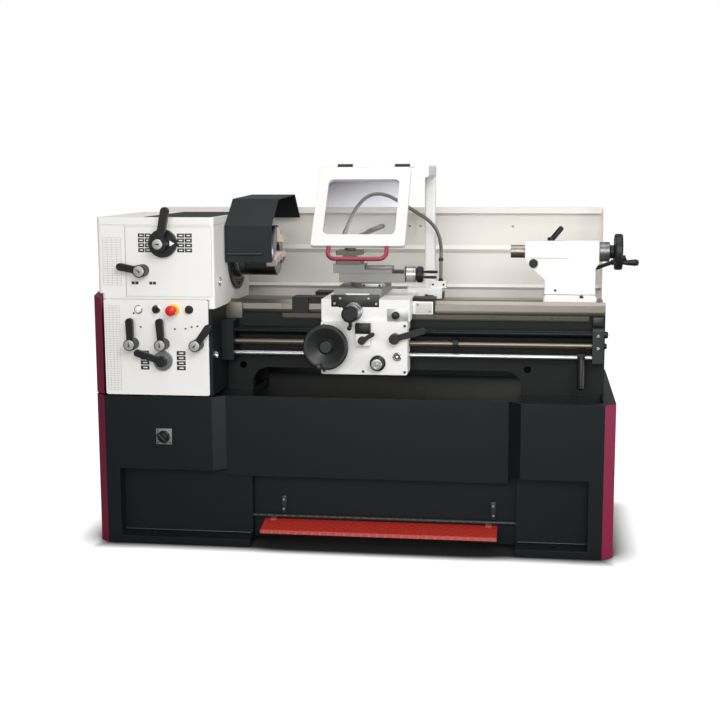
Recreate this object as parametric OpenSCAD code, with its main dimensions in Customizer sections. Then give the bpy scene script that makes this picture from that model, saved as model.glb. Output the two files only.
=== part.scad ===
// Gap-bed engine lathe on a two-cabinet stand, in millimetres.
// X runs along the bed to the right, Y away from the operator, Z up.
// The origin is on the floor, at mid length, straight under the spindle axis.

/* [Stand] */
// Length between the two end claddings
stand_l = 1902; // [1840:1:2100]
// Height of the tray rim above the floor
stand_h = 584; // [520:1:680]
// Cabinet front ahead of the spindle axis
stand_front = 379; // [372:1:420]
// Back of the stand behind the spindle axis
stand_back = 490; // [450:1:560]
// Thickness of the end claddings
cladding_t = 42; // [20:1:60]
// Width of the left cabinet at the floor
left_cabinet_w = 565; // [490:1:600]
// Width of the right cabinet at the floor
right_cabinet_w = 320; // [260:1:345]
// Width of the upper front of the left cabinet
left_front_w = 424; // [380:1:440]
// Width of the upper front of the right cabinet
right_front_w = 306; // [270:1:340]
// Set-back of the middle panel behind the cabinet fronts
panel_set = 45; // [30:1:54]
// Height of the middle panel
panel_h = 314; // [250:1:340]
// Height of the cabinets above their toe pockets
upper_body_h = 287; // [260:1:340]
// Depth of the toe pockets
pocket_set = 59; // [56:1:70]
// Depth of the chip tray
tray_depth = 40; // [25:1:60]
// Thickness of folded sheet
sheet_t = 4; // [2:0.5:5]
// Anchor bolts in from the ends of the stand
anchor_in = 181; // [140:1:220]
// Radius of an anchor hole
anchor_r = 9; // [6:0.5:12]

/* [Bed] */
// Length of the bed beyond that of the stand
bed_over = 6; // [0:1:40]
// Height of the bed ways above the tray rim
bed_h = 337; // [300:1:380]
// Front of the bed ahead of the spindle axis
bed_front = 130; // [120:1:140]
// Width over the ways
bed_w = 310; // [290:1:340]
// Height of the way rails
rail_h = 37; // [30:1:45]
// Width of the front and the rear rail
rail_w = 85; // [70:1:95]
// Thickness of a bed wall
bed_wall_t = 40; // [25:1:50]
// Height of the arch above the tray rim
arch_h = 80; // [50:1:110]
// Width of the raised vee
vee_w = 30; // [20:1:36]
// Height of the raised vee
vee_h = 14; // [8:1:18]

/* [Headstock] */
// Height of the spindle axis above the ways
centre_h = 201; // [190:1:220]
// Length of the headstock
head_l = 440; // [420:1:460]
// Height of the headstock above the ways
head_h = 345; // [335:1:380]
// Headstock front ahead of the spindle axis
head_front = 365; // [345:1:370]
// Headstock back behind the spindle axis
head_back = 235; // [205:1:260]
// Radius of the spindle
spindle_r = 45; // [38:1:60]
// Radius of the spindle bore
bore_r = 26; // [15:0.5:30]

/* [Chuck] */
// Diameter of the chuck
chuck_d = 200; // [180:1:210]
// Length of the chuck body
chuck_l = 141; // [120:1:150]
// Radius of the hole through the chuck
chuck_bore_r = 32; // [31:0.5:36]
// Diameter of the spindle flange
flange_d = 216; // [190:1:240]
// Width of a jaw
jaw_w = 28; // [20:1:32]
// Radius that the jaws grip at rest
jaw_grip_r = 34; // [30:1:40]

/* [Rods] */
// Radius of the lead screw
lead_screw_r = 15; // [12:0.5:17]
// Radius of the feed rod and the control rod
rod_r = 11; // [8:0.5:13]
// Lead screw below the ways
lead_screw_drop = 101; // [95:1:110]
// Feed rod below the ways
feed_rod_drop = 144; // [135:1:150]
// Control rod below the ways
control_rod_drop = 190; // [180:1:200]

/* [Carriage] */
// Middle of the carriage from the headstock
carriage_from_head = 558; // [520:1:640]
// Length of the saddle bridge
saddle_l = 341; // [300:1:380]
// Saddle front ahead of the bed
saddle_reach = 105; // [90:1:115]
// Height of the saddle bridge
saddle_h = 29; // [22:1:36]
// Depth of the apron below the saddle skirt
apron_h = 205; // [190:1:230]
// Width of the cross slide
cross_w = 185; // [150:1:200]
// Height of the cross slide
cross_h = 35; // [30:1:42]
// Size of the tool post block
tool_post_w = 100; // [80:1:110]

/* [Shield] */
// Width of the shield frame
shield_w = 347; // [300:1:380]
// Length of the shield frame down its slope
shield_l = 368; // [320:1:400]
// Thickness of the shield frame
shield_t = 14; // [8:1:20]

/* [Tailstock] */
// Left end of the tailstock body from the right end of the bed
tailstock_from_end = 309; // [300:1:360]
// Length of the tailstock body
tailstock_l = 283; // [270:1:290]
// Half width of the tailstock body
tailstock_half_w = 58; // [50:1:64]
// Radius of the quill
quill_r = 25; // [20:0.5:28]
// Length of quill that stands out at rest
quill_out = 56; // [30:1:80]

/* [Hidden] */
$fn = 48;
// Radial running fit of shafts, and the clearance between parts that pass each other
fit = 0.05;
gap = 0.3;

head_left = -stand_l / 2;
head_right = head_left + head_l;
overhang = 14;
bed_l = stand_l + bed_over;
carriage_x = head_right + carriage_from_head;
front_y = -stand_front;
tray_floor_z = stand_h - tray_depth;
pocket_h = stand_h - upper_body_h;
bed_z = stand_h + bed_h;
end_cover_top = bed_z + 56;
axis_z = bed_z + centre_h;
rail_z = bed_z - rail_h;
bed_y = -bed_front;
bed_back_y = bed_y + bed_w;
bed_right = head_left + bed_l;
vee_y = bed_y + 30;
wall_in = 8;
pocket_post_w = 54;
toe_h = 44;
toe_lip_h = 28;
anchor_y = stand_front - pocket_set / 2;
left_inner_x = head_left + left_cabinet_w;
right_inner_x = stand_l / 2 - right_cabinet_w;

// Feed gearbox
panel_t = 5;
gearbox_left = head_left + 10;
gearbox_right = head_right - 9;
gearbox_z = stand_h + 5;
panel_top_z = bed_z + 35;
panel_right = gearbox_right - 13;
screw_box_right = gearbox_right + 46;
screw_box_front = bed_y - 95;
rod_y0 = bed_y - 55;
lead_screw_z = bed_z - lead_screw_drop;
feed_rod_z = bed_z - feed_rod_drop;
control_rod_z = bed_z - control_rod_drop;
bracket_right = bed_right - 10;
bracket_left = bracket_right - 41;

// Controls on the gearbox panel and on the headstock: x from the left end, z, arm length and lean
lever_shaft_r = 8;
shaft_depth = 34;
lever_z = bed_z - 133;
feed_lever_a_at = [head_left + 124, lever_z];
feed_lever_b_at = [head_left + 244, lever_z];
feed_lever_c_at = [head_left + 378, lever_z];
feed_dial_at = [head_left + 240, bed_z - 198];
button_z = bed_z - 2;
selector_at = [head_left + 216, button_z];
stop_at = [head_left + 286, button_z];
start_at = [head_left + 345, button_z];
button_stem_r = 9;
speed_lever_at = [head_left + 248, bed_z + 248];
range_lever_at = [head_left + 165, bed_z + 145];

// Chuck
flange_t = 19;
bearing_cover_t = 11;
bearing_cover_r = 155;
nose_x = head_right + bearing_cover_t + 2;
chuck_x = nose_x + flange_t;
chuck_face_x = chuck_x + chuck_l;
jaw_slot_depth = 32;
jaw_l = 58;

// Chuck guard
guard_pin_r = 10;
guard_pin_y = 175;
guard_pin_z = bed_z + head_h - 26;
guard_left = head_right + 4;
guard_right = chuck_face_x + 16;

// Treadle
treadle_shaft_r = 8;
treadle_y = front_y + pocket_set + 24;
treadle_z = 106;

// Main switch
switch_at = [head_left + 235, stand_h - 156];
switch_plate_w = 64;
switch_plate_t = 4;

// Carriage
saddle_left = carriage_x - saddle_l / 2;
saddle_right = carriage_x + saddle_l / 2;
saddle_y = bed_y - saddle_reach;
saddle_top = bed_z + saddle_h;
saddle_back = bed_back_y + 35;
skirt_z = bed_z - 54;
skirt_back = bed_y - 15;
wing_h = saddle_h - 3;
apron_y = saddle_y - 15;
apron_z = skirt_z - apron_h;
handwheel_shaft_r = 10;
carriage_wheel_at = [saddle_left + 30, bed_z - 145];
half_nut_at = [carriage_x - 5, bed_z - 121];
half_nut_box = [54, 30, 84];
apron_lever_at = [carriage_x + 116, bed_z - 116];
apron_knob_at = [carriage_x + 50, bed_z - 213];
saddle_knob_at = [carriage_x + 117, bed_z - 30];
cross_screw_at = [carriage_x - 43, bed_z - 15];
cross_shaft_r = 9;
cross_left = carriage_x - 132;
cross_right = cross_left + cross_w;
cross_front = saddle_y + 72;
cross_back = saddle_back - 25;
cross_top = saddle_top + cross_h;
screw_bracket_top = cross_top - 20;
screw_bracket_d = 19;
dovetail_h = 16;
dovetail_half = 48;
dovetail_lean = 12;

// Compound
swivel_at = [carriage_x - 7, -20];
swivel_r = 80;
swivel_h = 15;
compound_half_w = 40;
compound_left = swivel_at[0] - 121;
compound_right = swivel_at[0] + 141;
compound_z = cross_top + swivel_h;
compound_h = 36;
compound_top = compound_z + compound_h;
top_slide_h = 35;
top_slide_left = compound_left - 24;
top_slide_right = compound_right - 51;
top_slide_z = compound_top + top_slide_h;
compound_tail_h = 12;
compound_tail_half = 22;
compound_tail_lean = 9;
compound_screw_z = compound_z + 30;
compound_shaft_r = 7;
tool_stud_r = 12;
tool_post_at = [top_slide_left + 63, swivel_at[1]];
tool_post_h = 54;
tool_post_top = top_slide_z + tool_post_h;

// Shield and coolant
post_block_z = bed_z + wing_h;
post_block_top = post_block_z + 21;
post_block_left = saddle_right - 41;
post_block_right = post_block_left + 140;
post_block_y = bed_back_y - 103;
manifold_top = post_block_top + 27;
post_at = [saddle_right + 45, bed_back_y - 29];
post_half = 21;
shield_x = carriage_x - 1;
shield_pin_y = -198;
shield_pin_z = axis_z + 330;
shield_pin_r = 5;
shield_lean = 40;
shield_edge = 9;
shield_hub_x = [107, 111];
window_margin_x = 40;
window_margin_top = 58;
window_margin_bottom = 52;
window_lap = 12;
window_t = 4;
pipe_r = 8;
pipe_y = bed_back_y - 82;
tap_at = [post_block_left + 78, bed_z + 15];
tap_pin_r = 4;

// Tailstock
tailstock_x = bed_right - tailstock_from_end;
tail_base_h = 41;
tail_base_left = tailstock_x + 71;
tail_base_right = tailstock_x + 276;
tail_base_half_w = 92;
tailstock_right = tailstock_x + tailstock_l;
tailstock_top = axis_z + 43;
tail_shaft_r = 12;
quill_lever_x = tailstock_x + 99;
tail_clamp_at = [tailstock_right - 26, axis_z - 77];

graphite = "#21282C";
burgundy = "#9C1C4C";
white = "#F3F1EE";
black = "#1B1B1B";
steel = "#A9AEB2";
red = "#B62C28";

// Shared shapes

module box(low, high) {
    translate(low) cube(high - low);
}

module along_x(x0, x1) {
    translate([x0, 0, 0]) rotate([90, 0, 90]) linear_extrude(x1 - x0) children();
}

module along_y(y0, y1) {
    translate([0, y1, 0]) rotate([90, 0, 0]) linear_extrude(y1 - y0) children();
}

module rod_x(r, x0, x1, y, z) {
    translate([x0, y, z]) rotate([0, 90, 0]) cylinder(r = r, h = x1 - x0);
}

module rod_y(r, y0, y1, x, z) {
    translate([x, y0, z]) rotate([-90, 0, 0]) cylinder(r = r, h = y1 - y0);
}

module rod_z(r, z0, z1, x, y) {
    translate([x, y, z0]) cylinder(r = r, h = z1 - z0);
}

// A round bar between two points
module bar(from, to, r) {
    d = to - from;
    l = norm(d);
    translate(from)
        rotate([0, acos(d[2] / l), atan2(d[1], d[0])]) cylinder(r = r, h = l);
}

module rounded(low, high, r) {
    translate([low[0] + r, low[1]]) square([high[0] - low[0] - 2 * r, high[1] - low[1]]);
    translate([low[0], low[1] + r]) square([high[0] - low[0], high[1] - low[1] - 2 * r]);
    for (x = [low[0] + r, high[0] - r], y = [low[1] + r, high[1] - r]) translate([x, y]) circle(r);
}

// A turned shape on an axis towards the operator: each point is a radius and a distance out
module turned_out(points) {
    rotate([90, 0, 0]) rotate_extrude() polygon(points);
}

// A turned shape on an axis to the right
module turned_right(points) {
    rotate([0, 90, 0]) rotate_extrude() polygon(points);
}

// The outline of a folded sheet of thickness t on the left of a path
function unit(v) = v / norm(v);
function left_of(v) = [-v[1], v[0]];
function heading(p, i) = unit(p[min(i + 1, len(p) - 1)] - p[min(i, len(p) - 2)]);
function fold_corner(p, i, t) =
    let (a = left_of(heading(p, max(i - 1, 0))), b = left_of(heading(p, i)), m = unit(a + b))
    p[i] + m * t / (m * b);
function folded(p, t) = concat(p, [for (i = [len(p) - 1:-1:0]) fold_corner(p, i, t)]);

// The groove that clears the raised vee of the bed
module vee_groove(x0, x1) {
    along_x(x0, x1)
        polygon([
            [vee_y - vee_w / 2 - 2 * gap, bed_z - 1], [vee_y - vee_w / 2 - 2 * gap, bed_z],
            [vee_y, bed_z + vee_h + 2 * gap], [vee_y + vee_w / 2 + 2 * gap, bed_z],
            [vee_y + vee_w / 2 + 2 * gap, bed_z - 1]
        ]);
}

// Dovetail section, wider at the top
module dovetail(half, lean, h, clear) {
    polygon([
        [-half + lean - clear, -clear], [half - lean + clear, -clear], [half + clear, h + clear],
        [-half - clear, h + clear]
    ]);
}

// A lever on a face: boss and arm stand out from the face, a shaft runs into it
module face_lever(length, lean, boss_r, boss_l, grip_w, grip_t) {
    neck = boss_r * 0.55;
    tip = length - grip_w / 2;
    rotate([0, lean, 0]) {
        rod_y(boss_r, -boss_l, -gap, 0, 0);
        rod_y(lever_shaft_r, -boss_l / 2, shaft_depth - 4, 0, 0);
        along_y(grip_t - boss_l - 4, 2 * grip_t - boss_l - 4) {
            polygon([[-neck, 0], [neck, 0], [grip_w / 2, tip], [-grip_w / 2, tip]]);
            translate([0, tip]) circle(grip_w / 2);
        }
    }
}

module lever_hole(at, y) {
    rod_y(lever_shaft_r + fit, y - 30, y + shaft_depth, at[0], at[1]);
}

module button_hole(at) {
    rod_y(button_stem_r + fit, front_y - 5, front_y + shaft_depth, at[0], at[1]);
}

// Stand

module cabinet(w, front_w) {
    c = panel_set;
    panel_back = front_y + c + sheet_t;
    upper_w = max(w, front_w + c + 2);
    rear_pocket_h = 110;
    difference() {
        union() {
            linear_extrude(pocket_h)
                polygon([
                    [0, front_y], [pocket_post_w, front_y], [pocket_post_w, front_y + pocket_set],
                    [w, front_y + pocket_set], [w, stand_back], [0, stand_back]
                ]);
            translate([0, 0, pocket_h]) linear_extrude(tray_floor_z - pocket_h)
                polygon([
                    [0, front_y], [front_w, front_y], [front_w + c, front_y + c], [front_w + c, panel_back],
                    [upper_w, panel_back], [upper_w, stand_back], [0, stand_back]
                ]);
            translate([0, 0, tray_floor_z]) linear_extrude(tray_depth)
                polygon([[0, front_y], [front_w, front_y], [front_w + c, front_y + c], [0, front_y + c]]);
            along_x(pocket_post_w - 1, w)
                polygon([
                    [front_y + pocket_set + 1, 0], [front_y + pocket_set + 1, toe_h],
                    [front_y + pocket_set, toe_h], [front_y, toe_lip_h], [front_y, 0]
                ]);
        }
        for (y = [-anchor_y, anchor_y]) rod_z(anchor_r, -1, toe_h + 30, anchor_in, y);
        box([pocket_post_w, anchor_y - pocket_set / 2, toe_h], [w + 1, stand_back + 1, toe_h + rear_pocket_h]);
        rod_x(treadle_shaft_r + fit, w - 24, w + 1, treadle_y, treadle_z);
    }
}

module left_cabinet() {
    half = switch_plate_w / 2;
    color(graphite)
        difference() {
            union() {
                translate([head_left, 0, 0]) cabinet(left_cabinet_w, left_front_w);
                along_y(front_y - switch_plate_t, front_y + 1)
                    rounded(switch_at - [half, half], switch_at + [half, half], 6);
            }
            rod_y(lever_shaft_r + fit, front_y - 20, front_y + shaft_depth, switch_at[0], switch_at[1]);
        }
}

module right_cabinet() {
    color(graphite)
        translate([stand_l / 2, 0, 0]) mirror([1, 0, 0]) cabinet(right_cabinet_w, right_front_w);
}

module chip_tray() {
    wall_y = front_y + panel_set;
    panel_left = head_left + left_front_w + panel_set;
    panel_end = stand_l / 2 - right_front_w - panel_set;
    panel_z = stand_h - panel_h;
    kick_y = treadle_y + treadle_shaft_r + 2;
    kick_gap = 20;
    color(graphite) {
        difference() {
            box([head_left, wall_y, tray_floor_z], [-head_left, stand_back, stand_h]);
            box(
                [head_left + sheet_t, wall_y + sheet_t, tray_floor_z + sheet_t],
                [-head_left - sheet_t, stand_back - sheet_t, stand_h + 1]
            );
        }
        box([panel_left, wall_y, panel_z], [panel_end, wall_y + sheet_t, tray_floor_z + 1]);
        box([left_inner_x, wall_y, panel_z], [panel_end, kick_y + sheet_t, panel_z + sheet_t]);
        box([left_inner_x, kick_y, kick_gap], [right_inner_x, kick_y + sheet_t, pocket_h]);
    }
}

module end_cladding() {
    linear_extrude(stand_h)
        polygon([
            [head_left, front_y], [head_left, stand_back], [head_left - cladding_t, stand_back],
            [head_left - cladding_t, front_y + cladding_t]
        ]);
}

module end_claddings() {
    color(burgundy) {
        end_cladding();
        mirror([1, 0, 0]) end_cladding();
    }
}

module splash_guard() {
    wall_y = stand_back - 46;
    top_z = bed_z + head_h + 11;
    ridge = 9;
    flange_h = 18;
    return_d = 60;
    right = bed_right + 10;
    color(white) {
        along_x(head_left + 12, right)
            polygon(folded([
                [stand_back, stand_h], [stand_back, bed_z - 50], [wall_y, bed_z - 26],
                [wall_y, bed_z + 10], [wall_y - ridge, bed_z + 20], [wall_y, bed_z + 30],
                [wall_y, bed_z + 165], [wall_y - ridge, bed_z + 181], [wall_y, bed_z + 197],
                [wall_y, top_z - flange_h], [wall_y - 26, top_z - flange_h], [wall_y - 26, top_z],
                [wall_y, top_z]
            ], sheet_t));
        box([right - sheet_t, wall_y - return_d, bed_z - 20], [right, wall_y - sheet_t - ridge, top_z]);
    }
}

module treadle() {
    left = left_inner_x + 46;
    right = right_inner_x - 69;
    plate_t = 5;
    plate_drop = 16;
    arm_w = 24;
    color(red) {
        along_x(left, right)
            polygon(folded([
                [treadle_y, treadle_z - plate_drop], [front_y - 19, treadle_z - 33], [front_y - 22, treadle_z - 43]
            ], -plate_t));
        for (x = [left + 46, right - 46 + arm_w])
            along_x(x - arm_w, x)
                polygon([
                    [treadle_y - treadle_shaft_r, treadle_z], [treadle_y + treadle_shaft_r, treadle_z],
                    [treadle_y, treadle_z - plate_drop - 2], [treadle_y - 26, treadle_z - plate_drop - 5]
                ]);
        rod_x(treadle_shaft_r, left_inner_x - 20, right_inner_x + 20, treadle_y, treadle_z);
    }
}

module main_switch() {
    color(black)
        translate([switch_at[0], front_y - switch_plate_t, switch_at[1]]) {
            turned_out([[0, 1], [24, 1], [24, 6], [17, 10], [17, 24], [14, 26], [0, 26]]);
            along_y(-38, -20) rounded([-6, -22], [6, 22], 5);
            rod_y(lever_shaft_r, -2, shaft_depth - 4, 0, 0);
        }
}

// Bed

module bed_side(arch_left, arch_right) {
    floor_z = tray_floor_z + sheet_t;
    arch_z = stand_h + arch_h;
    r = 60;
    hole_r = 14;
    difference() {
        translate([head_left, floor_z]) square([bed_l, rail_z - floor_z]);
        translate([arch_left + r, floor_z - 1]) square([arch_right - arch_left - 2 * r, arch_z - floor_z + 1]);
        translate([arch_left, floor_z - 1]) square([arch_right - arch_left, arch_z - floor_z + 1 - r]);
        for (x = [arch_left + r, arch_right - r]) translate([x, arch_z - r]) circle(r);
        for (x = [arch_left - 40, arch_right + 24]) translate([x, arch_z + 8]) circle(hole_r);
    }
}

module bed() {
    arch_left = left_inner_x - 34;
    arch_right = right_inner_x + 10;
    floor_z = tray_floor_z + sheet_t;
    foot_h = 24;
    foot_out = 6;
    rib_t = 28;
    rib_h = 150;
    rib_pitch = 210;
    inner_y = bed_y + wall_in + bed_wall_t;
    inner_back = bed_back_y - wall_in - bed_wall_t;
    seam = 1.5;
    color(graphite)
        difference() {
            union() {
                for (y = [bed_y + wall_in, inner_back])
                    along_y(y, y + bed_wall_t) bed_side(arch_left, arch_right);
                along_x(head_left, bed_right)
                    polygon([
                        [bed_y, rail_z], [bed_y, bed_z], [vee_y - vee_w / 2, bed_z], [vee_y, bed_z + vee_h],
                        [vee_y + vee_w / 2, bed_z], [bed_y + rail_w, bed_z], [bed_y + rail_w, rail_z]
                    ]);
                along_x(head_left, bed_right)
                    translate([bed_back_y - rail_w, rail_z]) square([rail_w, rail_h]);
                for (x = [head_left:rib_pitch:bed_right - rib_t])
                    box([x, inner_y - 1, rail_z - rib_h], [x + rib_t, inner_back + 1, rail_z]);
                box([bed_right - rib_t, inner_y - 1, floor_z], [bed_right, inner_back + 1, rail_z]);
                box(
                    [head_left, bed_y - foot_out, floor_z],
                    [arch_left, bed_back_y + foot_out, floor_z + foot_h]
                );
                box(
                    [arch_right, bed_y - foot_out, floor_z],
                    [bed_right, bed_back_y + foot_out, floor_z + foot_h]
                );
            }
            for (x = [head_right + 54, head_right + 214])
                box([x, bed_y - 1, rail_z - 40], [x + seam, bed_y + seam, bed_z + vee_h + 1]);
            for (x = [head_left - 1, -head_left - sheet_t - gap])
                box(
                    [x, bed_y - foot_out - 1, floor_z - 1],
                    [x + sheet_t + gap + bed_over + 1, bed_back_y + foot_out + 1, stand_h + gap]
                );
        }
}

module rack() {
    pitch = 10;
    depth = 6;
    height = 22;
    left = head_right + 216;
    count = floor((bracket_left - 10 - left) / pitch);
    back = bed_y + wall_in;
    color(steel)
        along_y(back - 18, back)
            polygon(concat(
                [[left, rail_z]],
                [for (i = [0:count - 1], p = [[0, 0], [2, depth], [5, depth], [7, 0]])
                    [left + i * pitch + p[0], rail_z - height + p[1]]],
                [[left + count * pitch, rail_z - height], [left + count * pitch, rail_z]]
            ));
}

// Headstock

module headstock() {
    groove = 2;
    lid_z = bed_z + head_h - 31;
    edge_r = 14;
    mat_depth = 4;
    overhang_z = end_cover_top + gap;
    color(white) {
        difference() {
            union() {
                translate([0, 0, bed_z]) linear_extrude(head_h)
                    rounded([head_left, -head_front], [head_right, head_back], edge_r);
                translate([0, 0, overhang_z]) linear_extrude(bed_z + head_h - overhang_z)
                    rounded([head_left - overhang, -head_front], [head_right, head_back], edge_r);
            }
            vee_groove(head_left - 1, head_right + 1);
            rod_x(spindle_r + fit, head_left - overhang - 1, head_right + 1, 0, axis_z);
            box(
                [head_left + 166, -head_front + 15, bed_z + head_h - mat_depth],
                [head_right - 12, head_back - 15, bed_z + head_h + 1]
            );
            box(
                [head_left - overhang - 1, -head_front - 1, lid_z],
                [head_right + 1, -head_front + groove, lid_z + groove]
            );
            box([head_right - groove, -head_front - 1, lid_z], [head_right + 1, head_back + 1, lid_z + groove]);
            box([head_left + 96, -head_front - 1, bed_z + 38], [head_left + 98, -head_front + groove, lid_z]);
            lever_hole(speed_lever_at, -head_front);
            lever_hole(range_lever_at, -head_front);
            for (at = [selector_at, stop_at, start_at]) button_hole(at);
        }
        rod_x(guard_pin_r, head_right - 1, head_right + 62, guard_pin_y, guard_pin_z);
    }
}

module top_mat() {
    z = bed_z + head_h;
    color(black)
        box(
            [head_left + 167, -head_front + 16, z - 4], [head_right - 13, head_back - 16, z + 1]
        );
}

module bearing_cover() {
    bolt_r = 7;
    bolt_ring_r = 132;
    top_z = bed_z + head_h - 3;
    bolt_end = head_right + bearing_cover_t + 6;
    color(black)
        difference() {
            union() {
                rod_x(bearing_cover_r, head_right, head_right + bearing_cover_t, 0, axis_z);
                for (a = [30:60:330])
                    rod_x(
                        bolt_r, head_right + bearing_cover_t, bolt_end,
                        bolt_ring_r * cos(a), axis_z + bolt_ring_r * sin(a)
                    );
            }
            rod_x(spindle_r + 2, head_right - 1, head_right + bearing_cover_t + 1, 0, axis_z);
            box(
                [head_right - 1, -bearing_cover_r, top_z],
                [bolt_end + 1, bearing_cover_r, axis_z + bearing_cover_r + 1]
            );
        }
}

module spindle() {
    color(steel)
        difference() {
            union() {
                rod_x(spindle_r, head_left - overhang - 4, nose_x + 1, 0, axis_z);
                rod_x(flange_d / 2, nose_x, chuck_x, 0, axis_z);
            }
            rod_x(bore_r, head_left - overhang - 5, chuck_x + 1, 0, axis_z);
        }
}

module chuck() {
    key_w = 11;
    color(steel)
        translate([chuck_x, 0, axis_z])
            difference() {
                turned_right([
                    [chuck_bore_r, 0], [chuck_d / 2, 0], [chuck_d / 2, 26], [chuck_d / 2 - 3, 29], [chuck_d / 2, 32],
                    [chuck_d / 2, chuck_l - 5], [chuck_d / 2 - 5, chuck_l], [chuck_bore_r, chuck_l]
                ]);
                for (a = [0, 120, 240]) {
                    rotate([a, 0, 0])
                        box([chuck_l - jaw_slot_depth, -jaw_w / 2, 0], [chuck_l + 1, jaw_w / 2, chuck_d]);
                    rotate([a + 60, 0, 0])
                        box([44, -key_w / 2, chuck_d / 2 - 18], [44 + key_w, key_w / 2, chuck_d]);
                }
            }
}

// A stepped jaw in its slot, pointing along its own radius
module jaw(turn) {
    half = jaw_w / 2 - gap;
    r = jaw_grip_r;
    step = 8;
    color(steel)
        translate([chuck_face_x, 0, axis_z]) rotate([turn, 0, 0])
            along_y(-half, half)
                polygon([
                    [gap - jaw_slot_depth, r], [step * 3, r], [step * 3, r + 16], [step * 2, r + 16],
                    [step * 2, r + 31], [step, r + 31], [step, r + jaw_l], [gap - jaw_slot_depth, r + jaw_l]
                ]);
}

module jaw_1() {
    jaw(0);
}

module jaw_2() {
    jaw(120);
}

module jaw_3() {
    jaw(240);
}

module chuck_guard() {
    guard_t = 3;
    hub_r = 17;
    front = -200;
    rear = 404;
    rear_z = guard_pin_z - 1;
    crown_y = [-57, 293];
    crown_z = [axis_z + 206, axis_z + 216];
    lip_z = axis_z - 4;
    color(graphite)
        difference() {
            union() {
                along_x(guard_left, guard_right)
                    polygon(folded([
                        [front, axis_z - 36], [front, axis_z + 105], [crown_y[0], crown_z[0]],
                        [crown_y[1], crown_z[1]], [rear, rear_z]
                    ], -guard_t));
                along_x(guard_left, guard_left + guard_t)
                    polygon([
                        [60, crown_z[0] + 2], [crown_y[1], crown_z[1] - 2], [rear - 4, rear_z],
                        [guard_pin_y, guard_pin_z - hub_r], [guard_pin_y - hub_r, guard_pin_z]
                    ]);
                rod_x(hub_r, guard_left, guard_left + 54, guard_pin_y, guard_pin_z);
                box([guard_left + 8, front - 16, lip_z], [guard_right - 71, front + 1, lip_z + guard_t]);
            }
            rod_x(guard_pin_r + fit, guard_left - 1, guard_right + 1, guard_pin_y, guard_pin_z);
        }
}

module speed_lever() {
    disc_r = 53;
    color(black)
        translate([speed_lever_at[0], -head_front, speed_lever_at[1]]) {
            rod_y(disc_r, -24, -gap, 0, 0);
            face_lever(139, 11, 27, 84, 30, 20);
        }
}

module range_lever() {
    color(black)
        translate([range_lever_at[0], -head_front, range_lever_at[1]]) face_lever(94, -79, 24, 58, 27, 18);
}

// Feed gearbox

module gearbox() {
    back = front_y + panel_t;
    color(graphite)
        difference() {
            union() {
                box([gearbox_left, back, gearbox_z], [gearbox_right, bed_y, bed_z - 1]);
                box([gearbox_left, back, bed_z - 2], [panel_right, -head_front - 1, panel_top_z]);
                box(
                    [gearbox_right - 1, screw_box_front, control_rod_z - 25],
                    [screw_box_right, bed_y, lead_screw_z + 41]
                );
            }
            for (at = [feed_lever_a_at, feed_lever_b_at, feed_lever_c_at, feed_dial_at]) lever_hole(at, front_y);
            for (at = [selector_at, stop_at, start_at]) button_hole(at);
            rod_x(lead_screw_r + fit, gearbox_right, screw_box_right + 1, rod_y0, lead_screw_z);
            rod_x(rod_r + fit, gearbox_right, screw_box_right + 1, rod_y0, feed_rod_z);
            rod_x(rod_r + fit, gearbox_right, screw_box_right + 1, rod_y0, control_rod_z);
        }
}

module gearbox_panel() {
    color(white)
        difference() {
            along_y(front_y, front_y + panel_t)
                rounded([gearbox_left, gearbox_z], [panel_right, panel_top_z], 8);
            for (at = [feed_lever_a_at, feed_lever_b_at, feed_lever_c_at, feed_dial_at]) lever_hole(at, front_y);
            for (at = [selector_at, stop_at, start_at]) button_hole(at);
        }
}

module end_cover() {
    back = head_back - 5;
    color(burgundy)
        intersection() {
            along_x(head_left - cladding_t, head_left)
                polygon([
                    [front_y, gearbox_z], [back, gearbox_z], [back, end_cover_top], [front_y + 94, end_cover_top],
                    [front_y, panel_top_z]
                ]);
            linear_extrude(end_cover_top + 1)
                polygon([
                    [head_left, front_y], [head_left, back], [head_left - cladding_t, back],
                    [head_left - cladding_t, front_y + cladding_t]
                ]);
        }
}

module feed_lever_a() {
    color(black)
        translate([feed_lever_a_at[0], front_y, feed_lever_a_at[1]]) face_lever(100, -2, 22, 60, 28, 18);
}

module feed_lever_b() {
    color(black)
        translate([feed_lever_b_at[0], front_y, feed_lever_b_at[1]]) face_lever(100, -4, 22, 60, 28, 18);
}

module feed_lever_c() {
    color(black)
        translate([feed_lever_c_at[0], front_y, feed_lever_c_at[1]]) face_lever(95, 36, 22, 60, 28, 18);
}

module feed_dial() {
    dial_r = 37;
    color(black)
        translate([feed_dial_at[0], front_y, feed_dial_at[1]]) {
            rod_y(dial_r, -14, -gap, 0, 0);
            face_lever(112, -72, 20, 44, 26, 16);
        }
}

module emergency_stop() {
    color(red)
        translate([stop_at[0], front_y, stop_at[1]]) {
            turned_out([[0, 8], [13, 8], [13, 40], [20, 44], [20, 52], [17, 58], [10, 61], [0, 62]]);
            rod_y(button_stem_r, -20, shaft_depth - 12, 0, 0);
        }
}

module start_button() {
    color(black)
        translate([start_at[0], front_y, start_at[1]]) {
            turned_out([[0, 6], [13, 6], [13, 15], [11, 17], [0, 17]]);
            rod_y(button_stem_r, -8, shaft_depth - 12, 0, 0);
        }
}

module mode_selector() {
    color(black)
        translate([selector_at[0], front_y, selector_at[1]]) {
            turned_out([[0, 1], [13, 1], [13, 10], [0, 10]]);
            along_y(-24, -9) rounded([-4, -12], [4, 12], 3);
            rod_y(button_stem_r, -4, shaft_depth - 12, 0, 0);
        }
}

// Rods

module lead_screw() {
    color(black)
        rod_x(lead_screw_r, gearbox_right + 5, bracket_right - 4, rod_y0, lead_screw_z);
}

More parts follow.
